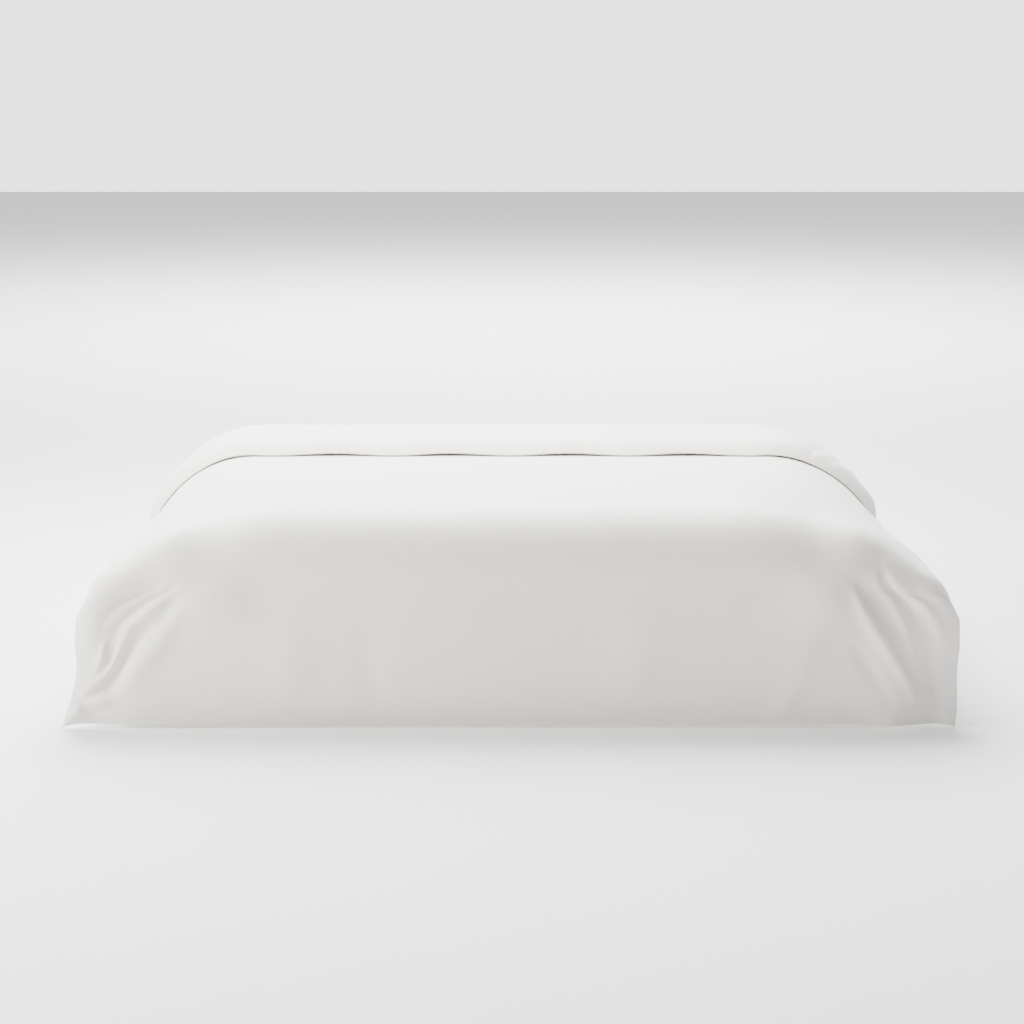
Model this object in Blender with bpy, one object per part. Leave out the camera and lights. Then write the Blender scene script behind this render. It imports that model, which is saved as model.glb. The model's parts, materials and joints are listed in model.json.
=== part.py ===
"""Duvet laid over a mattress, its head edge turned back as a cuff.

Frame: +X to the right seen from the foot of the bed, +Y towards the head, +Z up.  The origin is
on the mattress top, halfway between its foot edge and the fold of the cuff.  Metres throughout.

The cloth is described in its own flat coordinates: u runs across it from its middle, w runs along
it from the foot hem.  A third number, the offset, is measured off the duvet's mid surface, plus
towards the outer face.  Every layer is laid out in u, w and offset, and place() bends it over
the mattress.
"""
import math

import bmesh
import bpy
from mathutils import Vector

# ---- the mattress that it is draped over -----------------------------------------------------
MATTRESS_HALF_WIDTH = 0.965
MATTRESS_FOOT_Y = -0.635
MATTRESS_ROUNDING = 0.105       # radius of the mattress's top edge
FOLD_Y = 0.635                  # where the head edge is turned back

# ---- the duvet ---------------------------------------------------------------------------------
HALF_WIDTH = 1.13               # half of the flat width
LOFT = 0.036                    # thickness over a filled channel
HANG_GAP = 0.012                # how far the drops stand off the mattress
SIDE_ANGLE = math.radians(60)   # how steeply the side drops slope
FOOT_FLARE = 0.075              # how much further out the sides stand at the foot corners
FLARE_LENGTH = 0.35             # length of top over which they swing out
FOOT_DROP = 0.49                # height from the mid surface on top to the foot hem
CUFF_DEPTH = 0.37               # depth of the turned-back head edge
CUFF_CLEARANCE = 0.0024         # between the cuff and the duvet that it lies on
CORNER_BLEND = 3.0              # how squarely the two drops meet at a foot corner
EDGE_TAPER = 0.08               # width over which the loft thins to the seam

# ---- sheets and clearances ---------------------------------------------------------------------
GAP = 0.0004                    # between layers that lie on each other
SEAM_GAP = 0.0003               # between panels that are sewn face to face
PANEL = 0.0009                  # cover fabric
SHELL = 0.0006                  # insert fabric
BAFFLE = 0.0008                 # wall between two filled channels
INSERT_MARGIN = 0.045           # from the cover's seam to the insert's edge
BINDING_WIDTH = 0.005
BINDING_HALF = 0.0035           # half thickness of the bound edge
INSERT_TAPER = 0.06             # width over which the insert thins to its binding
CHANNELS_PER_SIDE = 3           # filled channels from the middle to one side

# ---- closure on the inner face, just above the foot hem ----------------------------------------
ZIP_ABOVE_HEM = 0.125
ZIP_HALF_LENGTH = 0.842
SLOT_HALF = 0.006               # half of the opening between the panels
COIL_INNER = 0.0009             # coil halves, measured from the zip's middle line
COIL_OUTER = 0.0029
COIL_THICKNESS = 0.0030
TAPE_REACH = 0.018
TAPE_THICKNESS = 0.0006
RECESS_HALF = 0.020             # the insert gives way behind the zip
RECESS_DEPTH = 0.0042
RECESS_RAMP = 0.008             # over which it comes back to its full thickness
SLOT_PAST_STOP = 0.003          # how far the opening runs on past a stop
SLOT_RAMP = 0.010               # over which it narrows to a seam
COIL_PROUD = 0.0005             # how far the coil stands out of the inner face
SLIDER_LENGTH = 0.009
SLIDER_HALF_HEIGHT = 0.0042
SLIDER_PLATE = 0.0015
SLIDER_INNER_INSET = 0.0005     # how much narrower its inner plate is on each side
SLIDER_POST_HALF = 0.0005
SLIDER_POST_SPAN = (0.001, 0.003)   # the post between its plates, from the slider's front
BAIL_HALF_HEIGHT = 0.0010
BAIL_WALL = 0.0010
BAIL_WINDOW = 0.0018
TAB_BAR = 0.0010
TAB_HALF_HEIGHT = 0.0025
TAB_LENGTH = 0.024
TAB_EYE = 0.006                 # from the tab's axis to its plate
UNION_BITE = 0.0002             # how deep boxes that become one body reach into each other
STOP_LENGTH = 0.0022
FIT = 0.0003                    # between hard or flat pieces that touch

# ---- ties, loops and label ---------------------------------------------------------------------
LOOP_LENGTH = 0.018
LOOP_HEIGHT = 0.0062
LOOP_RIBBON = 0.006
LOOP_OVERLAP = 0.006            # how far a tie reaches into its loop
TIE_WIDTH = 0.014
TIE_RIBBON = 0.0024
TAPE = 0.0010                   # thickness of tie and loop tape
LABEL_SIZE = (0.045, 0.050)
LABEL_X = -0.78

# ---- worked out --------------------------------------------------------------------------------
HALF_LOFT = LOFT / 2
EDGE_HALF = PANEL + SEAM_GAP / 2
DROP_RADIUS = MATTRESS_ROUNDING + HANG_GAP + HALF_LOFT
SHOULDER_U = MATTRESS_HALF_WIDTH - MATTRESS_ROUNDING
SIDE_ARC = DROP_RADIUS * SIDE_ANGLE
FOOT_STRAIGHT = FOOT_DROP - DROP_RADIUS
FOOT_ARC = DROP_RADIUS * math.pi / 2
FOOT_TOP_Y = MATTRESS_FOOT_Y + MATTRESS_ROUNDING
FOOT_PLANE_Y = FOOT_TOP_Y - DROP_RADIUS
TOP_START_W = FOOT_STRAIGHT + FOOT_ARC
FLARE_START_W = TOP_START_W + FLARE_LENGTH
FOLD_W = TOP_START_W + FOLD_Y - FOOT_TOP_Y
FOLD_RADIUS = HALF_LOFT + CUFF_CLEARANCE / 2
FOLD_ARC = math.pi * FOLD_RADIUS
CUFF_W = FOLD_W + FOLD_ARC
LENGTH = CUFF_W + CUFF_DEPTH
INSERT_EDGE = INSERT_MARGIN + BINDING_WIDTH + GAP
SLOT_END = ZIP_HALF_LENGTH + FIT + STOP_LENGTH + SLOT_PAST_STOP


def side_profile(u):
    """Distance out from the middle and drop, for the cloth u metres from the middle line."""
    a = abs(u)
    if a <= SHOULDER_U:
        return a, 0.0
    turned = min((a - SHOULDER_U) / DROP_RADIUS, SIDE_ANGLE)
    out = SHOULDER_U + DROP_RADIUS * math.sin(turned)
    drop = DROP_RADIUS * (1 - math.cos(turned))
    rest = a - SHOULDER_U - DROP_RADIUS * turned
    return out + rest * math.cos(SIDE_ANGLE), drop + rest * math.sin(SIDE_ANGLE)


def foot_profile(w):
    """Y and drop for the cloth w metres from the foot hem."""
    if w >= TOP_START_W:
        return FOOT_TOP_Y + w - TOP_START_W, 0.0
    turned = min((TOP_START_W - w) / DROP_RADIUS, math.pi / 2)
    y = FOOT_TOP_Y - DROP_RADIUS * math.sin(turned)
    drop = DROP_RADIUS * (1 - math.cos(turned))
    return y, drop + TOP_START_W - w - DROP_RADIUS * turned


def flare(w):
    """How far the side drops have swung out: 0 on top, 1 from the foot plane down."""
    part = (FLARE_START_W - w) / (FLARE_START_W - FOOT_STRAIGHT)
    return (1 - math.cos(math.pi * min(max(part, 0.0), 1.0))) / 2


def middle(u, w):
    """Point of the mid surface, without the fold."""
    out, side_drop = side_profile(u)
    beyond = max(abs(u) - SHOULDER_U, 0.0) / (HALF_WIDTH - SHOULDER_U)
    out += FOOT_FLARE * flare(w) * beyond
    y, foot_drop = foot_profile(w)
    drop = (side_drop ** CORNER_BLEND + foot_drop ** CORNER_BLEND) ** (1 / CORNER_BLEND)
    return Vector((math.copysign(out, u), y, HALF_LOFT - drop))


def outward(u, w, step=1e-4):
    """Unit normal of the mid surface, towards the outer face."""
    across = middle(u + step, w) - middle(u - step, w)
    along = middle(u, w + step) - middle(u, w - step)
    return across.cross(along).normalized()


def place(u, w, offset):
    """Point of the draped duvet: the head edge past FOLD_W turns back over the top."""
    turned = min(max(w - FOLD_W, 0.0) / FOLD_RADIUS, math.pi)
    back = max(w - CUFF_W, 0.0)
    along = min(w, FOLD_W) + (FOLD_RADIUS - offset) * math.sin(turned) - back
    height = FOLD_RADIUS - (FOLD_RADIUS - offset) * math.cos(turned)
    return middle(u, along) + outward(u, along) * height


def interpolate(x, xs, ys):
    """Straight-line interpolation through the points xs, ys."""
    if x <= xs[0]:
        return ys[0]
    for x0, x1, y0, y1 in zip(xs, xs[1:], ys, ys[1:]):
        if x <= x1:
            return y0 + (y1 - y0) * (x - x0) / (x1 - x0)
    return ys[-1]


def swell(distance, width, low, high):
    """Thickness that rises from low at an edge to high at width from it."""
    return low + (high - low) * math.sin(math.pi / 2 * min(max(distance / width, 0.0), 1.0))


EDGE_LINES = [0.0, 0.02, INSERT_MARGIN, 0.065, EDGE_TAPER, INSERT_MARGIN + INSERT_TAPER]
COVER_SWELL = [swell(d, EDGE_TAPER, EDGE_HALF, HALF_LOFT) for d in EDGE_LINES]
INSERT_FULL = HALF_LOFT - PANEL - GAP
INSERT_SWELL = [swell(d - INSERT_MARGIN, INSERT_TAPER, BINDING_HALF, INSERT_FULL) for d in EDGE_LINES]
INSERT_SWELL = [min(i, max(c - PANEL - GAP, BINDING_HALF)) for i, c in zip(INSERT_SWELL, COVER_SWELL)]


def edge_distance(u, w):
    """Distance to the nearest edge of the flat cloth."""
    return min(HALF_WIDTH - abs(u), w, LENGTH - w)


def cover_half(u, w):
    return interpolate(edge_distance(u, w), EDGE_LINES, COVER_SWELL)


def insert_half(u, w):
    return interpolate(edge_distance(u, w), EDGE_LINES, INSERT_SWELL)


def insert_back_half(u, w):
    """The insert's inner side gives way behind the zip."""
    near = min(max((RECESS_HALF + RECESS_RAMP - abs(w - ZIP_ABOVE_HEM)) / RECESS_RAMP, 0.0), 1.0)
    ends = min(max((SHOULDER_U + SIDE_ARC / 3 - abs(u)) / (SIDE_ARC / 3), 0.0), 1.0)
    full = insert_half(u, w)
    return min(full, INSERT_FULL - RECESS_DEPTH * near * ends)


# ---- grid lines --------------------------------------------------------------------------------
ARC_END_U = SHOULDER_U + SIDE_ARC
CHANNEL_PITCH = ARC_END_U / CHANNELS_PER_SIDE
CHANNEL_EDGES = [CHANNEL_PITCH * k for k in range(1 - CHANNELS_PER_SIDE, CHANNELS_PER_SIDE)]
SIDE_BEND = [SHOULDER_U + SIDE_ARC * k / 3 for k in range(4)]
U_EDGE = [HALF_WIDTH - d for d in reversed(EDGE_LINES)]
ZIP_LINES = [ZIP_ABOVE_HEM + s for s in (-RECESS_HALF, RECESS_HALF, RECESS_HALF + RECESS_RAMP)]
FOOT_BEND = [FOOT_STRAIGHT + FOOT_ARC * k / 4 for k in range(5)]
FLARE_BEND = [TOP_START_W + FLARE_LENGTH * k / 4 for k in range(1, 5)]
FOLD_BEND = [FOLD_W + FOLD_ARC * k / 6 for k in range(7)]
W_EDGE = [LENGTH - d for d in reversed(EDGE_LINES)]
W_LINES = EDGE_LINES + ZIP_LINES + FOOT_BEND + FLARE_BEND + FOLD_BEND + W_EDGE


def lines_between(lines, low, high):
    """The grid lines strictly inside a span, with the span's two ends."""
    inside = sorted({round(x, 7) for x in lines if low + 1e-5 < x < high - 1e-5})
    return [low] + inside + [high]


def u_lines(low, high):
    bends = SIDE_BEND + U_EDGE
    return lines_between([-x for x in bends] + bends, low, high)


def w_lines(low, high):
    return lines_between(W_LINES, low, high)


# ---- mesh helpers ------------------------------------------------------------------------------
def clear_scene():
    for old in list(bpy.data.objects):
        bpy.data.objects.remove(old)


def material(name, color, roughness, metallic=0.0):
    mat = bpy.data.materials.new(name)
    mat.use_nodes = True
    shader = mat.node_tree.nodes["Principled BSDF"]
    shader.inputs["Base Color"].default_value = (*color, 1.0)
    shader.inputs["Roughness"].default_value = roughness
    shader.inputs["Metallic"].default_value = metallic
    return mat


def finish(name, bm, mat, smooth=False):
    """Turn a bmesh of closed bodies into the named object."""
    bmesh.ops.recalc_face_normals(bm, faces=bm.faces)
    mesh = bpy.data.meshes.new(name)
    bm.to_mesh(mesh)
    bm.free()
    mesh.materials.append(mat)
    obj = bpy.data.objects.new(name, mesh)
    bpy.context.collection.objects.link(obj)
    if smooth:
        mesh.shade_smooth()
    return obj


def add_slab(bm, us, ws, upper, lower, low_edge=None):
    """Closed sheet between two offset functions.  low_edge(u) may bend its first w line."""
    def layer(offset):
        grid = []
        for j, w in enumerate(ws):
            line = [low_edge(u) if low_edge and j == 0 else w for u in us]
            grid.append([bm.verts.new(place(u, wj, offset(u, wj))) for u, wj in zip(us, line)])
        return grid
    top, bottom = layer(upper), layer(lower)
    columns, rows = len(us) - 1, len(ws) - 1
    for j in range(rows):
        for i in range(columns):
            # The diagonal runs towards the nearest corner of the cloth, the same in every layer.
            rising = (us[i + 1] > us[i]) == (ws[j + 1] > ws[j])
            wanted = (us[i] + us[i + 1] < 0) == (ws[j] + ws[j + 1] < LENGTH)
            for grid in (top, bottom):
                a, b = grid[j][i], grid[j][i + 1]
                c, d = grid[j + 1][i + 1], grid[j + 1][i]
                if rising != wanted:
                    a, b, c, d = b, c, d, a
                bm.faces.new((a, b, c))
                bm.faces.new((a, c, d))
    # Every rim is cut along the same diagonal, so that neighbours that face each other stay parallel.
    rim = [((0, i), (0, i + 1)) for i in range(columns)]
    rim += [((rows, i), (rows, i + 1)) for i in range(columns)]
    rim += [((j, 0), (j + 1, 0)) for j in range(rows)]
    rim += [((j, columns), (j + 1, columns)) for j in range(rows)]
    for (j0, i0), (j1, i1) in rim:
        bm.faces.new((top[j0][i0], top[j1][i1], bottom[j1][i1]))
        bm.faces.new((top[j0][i0], bottom[j1][i1], bottom[j0][i0]))


def slab(name, us, ws, upper, lower, mat, low_edge=None):
    bm = bmesh.new()
    add_slab(bm, us, ws, upper, lower, low_edge)
    return finish(name, bm, mat, smooth=True)


def add_box(bm, low, high):
    corners = [bm.verts.new((x, y, z)) for x in (low[0], high[0])
               for y in (low[1], high[1]) for z in (low[2], high[2])]
    for face in ((0, 1, 3, 2), (4, 6, 7, 5), (0, 4, 5, 1), (2, 3, 7, 6), (0, 2, 6, 4), (1, 5, 7, 3)):
        bm.faces.new([corners[k] for k in face])


def box(name, low, high, mat):
    bm = bmesh.new()
    add_box(bm, low, high)
    return finish(name, bm, mat)


def union_of_boxes(name, boxes, mat):
    """Boxes that reach into each other, joined into one body."""
    obj = box(name, *boxes[0], mat)
    for low, high in boxes[1:]:
        tool = box(name + "_tool", low, high, mat)
        join = obj.modifiers.new("join", "BOOLEAN")
        join.operation = "UNION"
        join.solver = "EXACT"
        join.object = tool
        evaluated = obj.evaluated_get(bpy.context.evaluated_depsgraph_get())
        joined = bpy.data.meshes.new_from_object(evaluated)
        obj.modifiers.clear()
        obj.data = joined
        bpy.data.objects.remove(tool)
    return obj


def set_origin(obj, point):
    """Move the object's origin without moving its shape."""
    for vertex in obj.data.vertices:
        vertex.co -= Vector(point)
    obj.location = point


def ring(name, centre, axes, length, width, depth, mat):
    """Flat loop of tape: a rounded oblong in the first two axes, depth along the third."""
    bm = bmesh.new()
    loops = []
    for inset in (0.0, TAPE):
        half_l, half_w = length / 2 - inset, width / 2 - inset
        for side in (-depth / 2, depth / 2):
            points = []
            for k in range(12):
                turn = math.pi * (k + 0.5) / 6
                a = half_l * math.copysign(min(1.0, 1.25 * abs(math.cos(turn))), math.cos(turn))
                b = half_w * math.copysign(min(1.0, 1.25 * abs(math.sin(turn))), math.sin(turn))
                points.append(bm.verts.new(centre + axes[0] * a + axes[1] * b + axes[2] * side))
            loops.append(points)
    for first, second in ((0, 1), (1, 3), (3, 2), (2, 0)):
        for k in range(12):
            m = (k + 1) % 12
            bm.faces.new((loops[first][k], loops[first][m], loops[second][m], loops[second][k]))
    return finish(name, bm, mat, smooth=False)


# ---- materials ---------------------------------------------------------------------------------
def make_materials():
    return {
        "sateen": material("sateen", (0.82, 0.81, 0.79), 0.55),
        "downproof": material("downproof_cotton", (0.86, 0.85, 0.82), 0.7),
        "down": material("down_fill", (0.90, 0.89, 0.86), 0.95),
        "tape": material("cotton_tape", (0.80, 0.79, 0.76), 0.8),
        "nylon": material("nylon_coil", (0.84, 0.83, 0.81), 0.4),
        "metal": material("plated_metal", (0.70, 0.70, 0.69), 0.3, 1.0),
        "label": material("label_satin", (0.88, 0.87, 0.85), 0.5),
    }


# ---- cover -------------------------------------------------------------------------------------
def slot_edge(side):
    """Edge of a panel beside the zip: open along the slot, sewn shut past its ends."""
    def edge(u):
        reach = interpolate(abs(u), [SLOT_END, SLOT_END + SLOT_RAMP], [SLOT_HALF, SEAM_GAP / 2])
        return ZIP_ABOVE_HEM + side * reach
    return edge


def make_cover(mats):
    us = u_lines(-HALF_WIDTH, HALF_WIDTH)
    ends = [-SLOT_END - SLOT_RAMP, -SLOT_END, SLOT_END, SLOT_END + SLOT_RAMP]
    slot_us = sorted(set(us + ends))
    slab("cover_top_panel", us, w_lines(0.0, LENGTH),
         lambda u, w: cover_half(u, w),
         lambda u, w: cover_half(u, w) - PANEL, mats["sateen"])
    slab("cover_back_panel", slot_us, w_lines(ZIP_ABOVE_HEM, LENGTH),
         lambda u, w: PANEL - cover_half(u, w),
         lambda u, w: -cover_half(u, w), mats["sateen"], low_edge=slot_edge(1))
    make_hem_facing(slot_us, mats)


def make_hem_facing(slot_us, mats):
    """Strip of the inner side below the zip, turned up from the foot hem."""
    edge = slot_edge(-1)
    ws = w_lines(0.0, ZIP_ABOVE_HEM)
    bm = bmesh.new()
    add_slab(bm, slot_us, list(reversed(ws)),
             lambda u, w: PANEL - cover_half(u, w),
             lambda u, w: -cover_half(u, w), low_edge=edge)
    finish("cover_hem_facing", bm, mats["sateen"], smooth=True)


# ---- insert ------------------------------------------------------------------------------------
def make_insert(mats):
    reach = HALF_WIDTH - INSERT_EDGE
    us = u_lines(-reach, reach)
    ws = w_lines(INSERT_EDGE, LENGTH - INSERT_EDGE)
    slab("insert_top_shell", us, ws,
         lambda u, w: insert_half(u, w),
         lambda u, w: insert_half(u, w) - SHELL, mats["downproof"])
    slab("insert_back_shell", us, ws,
         lambda u, w: SHELL - insert_back_half(u, w),
         lambda u, w: -insert_back_half(u, w), mats["downproof"])
    make_binding(mats)


def binding_rim(inset):
    """Points of the bound edge at one inset, the same number of them at every inset."""
    inner = INSERT_MARGIN + BINDING_WIDTH
    us = u_lines(inner - HALF_WIDTH, HALF_WIDTH - inner)
    ws = w_lines(inner, LENGTH - inner)
    us[0], us[-1] = inset - HALF_WIDTH, HALF_WIDTH - inset
    ws[0], ws[-1] = inset, LENGTH - inset
    path = [(u, ws[0]) for u in us[:-1]] + [(us[-1], w) for w in ws[:-1]]
    return path + [(u, ws[-1]) for u in us[:0:-1]] + [(us[0], w) for w in ws[:0:-1]]


def make_binding(mats):
    """Folded tape around the insert's edge: a frame that closes on itself."""
    bm = bmesh.new()
    loops = []
    for inset in (INSERT_MARGIN, INSERT_MARGIN + BINDING_WIDTH):
        for side in (1, -1):
            loops.append([bm.verts.new(place(u, w, side * BINDING_HALF)) for u, w in binding_rim(inset)])
    count = len(loops[0])
    for first, second in ((0, 1), (1, 3), (3, 2), (2, 0)):
        for k in range(count):
            m = (k + 1) % count
            bm.faces.new((loops[first][k], loops[first][m], loops[second][m], loops[second][k]))
    finish("insert_edge_binding", bm, mats["tape"])


def fill_top(u, w):
    return insert_half(u, w) - SHELL - GAP


def fill_back(u, w):
    return -(insert_back_half(u, w) - SHELL - GAP)


def make_fill(mats):
    """Down in its lengthwise channels, one body for each."""
    room = BAFFLE / 2 + GAP
    edges = [INSERT_EDGE - HALF_WIDTH] + CHANNEL_EDGES + [HALF_WIDTH - INSERT_EDGE]
    for k, (u0, u1) in enumerate(zip(edges, edges[1:])):
        left = u0 + (room if k > 0 else 0.0)
        right = u1 - (room if k < len(edges) - 2 else 0.0)
        slab(f"down_channel_{k + 1}", u_lines(left, right),
             w_lines(INSERT_EDGE, LENGTH - INSERT_EDGE), fill_top, fill_back, mats["down"])


def make_baffles(mats):
    """Cotton walls between the channels, sewn to both shells."""
    for number, u in enumerate(CHANNEL_EDGES, start=1):
        bm = bmesh.new()
        add_slab(bm, [u - BAFFLE / 2, u + BAFFLE / 2],
                 w_lines(INSERT_EDGE, LENGTH - INSERT_EDGE), fill_top, fill_back)
        finish(f"baffle_wall_{number}", bm, mats["downproof"])


# ---- zip ---------------------------------------------------------------------------------------
BACK_FACE_Y = FOOT_PLANE_Y + HALF_LOFT
TAPE_OUTER_Y = BACK_FACE_Y - PANEL - FIT
COIL_Y = (BACK_FACE_Y + COIL_PROUD - COIL_THICKNESS, BACK_FACE_Y + COIL_PROUD)
ZIP_Z = middle(0.0, ZIP_ABOVE_HEM).z


def make_tapes_and_coils(mats):
    """Two tapes with half of the coil on each, and the stops across both ends."""
    tape_half = ZIP_HALF_LENGTH + STOP_LENGTH
    tape_start = COIL_OUTER + FIT
    for name, side in (("upper", 1), ("lower", -1)):
        tape_z = sorted((ZIP_Z + side * tape_start, ZIP_Z + side * TAPE_REACH))
        box(f"zip_tape_{name}", (-tape_half, TAPE_OUTER_Y - TAPE_THICKNESS, tape_z[0]),
            (tape_half, TAPE_OUTER_Y, tape_z[1]), mats["tape"])
        coil_z = sorted((ZIP_Z + side * COIL_INNER, ZIP_Z + side * COIL_OUTER))
        box(f"zip_coil_{name}", (-ZIP_HALF_LENGTH, COIL_Y[0], coil_z[0]),
            (ZIP_HALF_LENGTH, COIL_Y[1], coil_z[1]), mats["nylon"])
    for name, side in (("closed", -1), ("open", 1)):
        ends = sorted((side * (ZIP_HALF_LENGTH + FIT), side * (ZIP_HALF_LENGTH + FIT + STOP_LENGTH)))
        box(f"zip_stop_{name}_end", (ends[0], COIL_Y[0], ZIP_Z - COIL_OUTER),
            (ends[1], COIL_Y[1], ZIP_Z + COIL_OUTER), mats["metal"])


def make_slider(mats):
    """Slider at the closed end, with its pull tab on the bail of its outer plate."""
    x0 = -ZIP_HALF_LENGTH + FIT
    x1 = x0 + SLIDER_LENGTH
    middle_x = (x0 + x1) / 2
    low_z, high_z = ZIP_Z - SLIDER_HALF_HEIGHT, ZIP_Z + SLIDER_HALF_HEIGHT
    outer_y = (COIL_Y[1] + FIT, COIL_Y[1] + FIT + SLIDER_PLATE)
    inner_y = (COIL_Y[0] - FIT - SLIDER_PLATE, COIL_Y[0] - FIT)
    bail_y = (outer_y[1], outer_y[1] + BAIL_WINDOW + BAIL_WALL)
    bail_z = (ZIP_Z - BAIL_HALF_HEIGHT, ZIP_Z + BAIL_HALF_HEIGHT)
    window = BAIL_WINDOW / 2
    bite = UNION_BITE
    post_back, post_front = x1 - SLIDER_POST_SPAN[1], x1 - SLIDER_POST_SPAN[0]
    boxes = [((x0, outer_y[0], low_z), (x1, outer_y[1], high_z)),
             ((post_back, inner_y[1] - bite, ZIP_Z - SLIDER_POST_HALF),
              (post_front, outer_y[0] + bite, ZIP_Z + SLIDER_POST_HALF)),
             ((x0, inner_y[0], low_z + SLIDER_INNER_INSET),
              (x1, inner_y[1], high_z - SLIDER_INNER_INSET))]
    for side in (-1, 1):
        leg = sorted((middle_x + side * window, middle_x + side * (window + BAIL_WALL)))
        boxes.append(((leg[0], bail_y[0] - bite, bail_z[0]), (leg[1], bail_y[1] - bite, bail_z[1])))
    boxes.append(((middle_x - window - BAIL_WALL, bail_y[1] - BAIL_WALL, bail_z[0]),
                  (middle_x + window + BAIL_WALL, bail_y[1], bail_z[1])))
    slider = union_of_boxes("zip_slider", boxes, mats["metal"])
    set_origin(slider, (middle_x, (COIL_Y[0] + COIL_Y[1]) / 2, ZIP_Z))
    make_pull_tab(middle_x, bail_y[0] + BAIL_WINDOW / 2, mats)


def make_pull_tab(axis_x, axis_y, mats):
    """Tab whose bar turns in the bail, lying along the zip towards its open end."""
    half = TAB_BAR / 2
    arm_z = (BAIL_HALF_HEIGHT + FIT, TAB_HALF_HEIGHT)
    plate_x = axis_x + TAB_EYE
    low_y, high_y = axis_y - half, axis_y + half
    boxes = [((axis_x - half, low_y, ZIP_Z - TAB_HALF_HEIGHT),
              (axis_x + half, high_y, ZIP_Z + TAB_HALF_HEIGHT))]
    for side in (-1, 1):
        z = sorted((ZIP_Z + side * arm_z[0], ZIP_Z + side * arm_z[1]))
        boxes.append(((axis_x - half, low_y, z[0]), (plate_x + UNION_BITE, high_y, z[1])))
    boxes.append(((plate_x, low_y, ZIP_Z - TAB_HALF_HEIGHT),
                  (axis_x + TAB_LENGTH, high_y, ZIP_Z + TAB_HALF_HEIGHT)))
    tab = union_of_boxes("zip_pull_tab", boxes, mats["metal"])
    set_origin(tab, (axis_x, axis_y, ZIP_Z))


# ---- corner ties and label ---------------------------------------------------------------------
def corner_point(side, head, inset, offset=0.0):
    """Point on the diagonal of a corner of the cover, inset from both of its edges."""
    w = LENGTH - inset if head else inset
    return place(side * (HALF_WIDTH - inset), w, offset)


def make_corner(side, head, mats):
    """Loop on the insert's corner, and the cover's tie that passes through it."""
    room = TIE_RIBBON / 2 + PANEL + FIT
    seat = interpolate(room, COVER_SWELL, EDGE_LINES) + TIE_WIDTH / math.sqrt(8)
    start, end = corner_point(side, head, INSERT_MARGIN), corner_point(side, head, seat)
    along = (end - start).normalized()
    normal = corner_point(side, head, INSERT_MARGIN, 0.001) - start
    across = normal.cross(along).normalized()
    up = along.cross(across)
    place_name = ("head" if head else "foot") + ("_right" if side > 0 else "_left")
    reach = (end - start).length
    ring("insert_loop_" + place_name, start + along * (FIT + LOOP_LENGTH / 2), (along, up, across),
         LOOP_LENGTH, LOOP_HEIGHT, LOOP_RIBBON, mats["tape"])
    tie_length = reach - FIT - LOOP_LENGTH + LOOP_OVERLAP
    ring("cover_tie_" + place_name, end - along * (tie_length / 2), (along, across, up),
         tie_length, TIE_WIDTH, TIE_RIBBON, mats["tape"])


def make_label(mats):
    """Blank care label on the inner side, above the zip near its closed end."""
    z0 = ZIP_Z + TAPE_REACH
    box("care_label", (LABEL_X - LABEL_SIZE[0] / 2, BACK_FACE_Y + FIT, z0),
        (LABEL_X + LABEL_SIZE[0] / 2, BACK_FACE_Y + FIT + TAPE_THICKNESS, z0 + LABEL_SIZE[1]),
        mats["label"])


def main():
    clear_scene()
    mats = make_materials()
    make_cover(mats)
    make_insert(mats)
    make_fill(mats)
    make_baffles(mats)
    make_tapes_and_coils(mats)
    make_slider(mats)
    for side in (-1, 1):
        for head in (False, True):
            make_corner(side, head, mats)
    make_label(mats)


main()
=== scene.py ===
# %% [markdown]
# # A duvet laid over a bed
#
# A duvet is two things: a cotton bag, the cover, and a quilted sack of down, the insert, which is
# tied into the corners of the bag.  Here it lies over a wide mattress.  Its foot end hangs down in
# front, its sides hang down left and right, and its head edge is turned back over itself as a cuff.
#
# The rigid frame comes first: it says where each piece of the duvet is and which pieces move.
# The script only dresses that frame, so it loads it before anything is added.

# %% Load the frame
import json
import math

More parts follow.
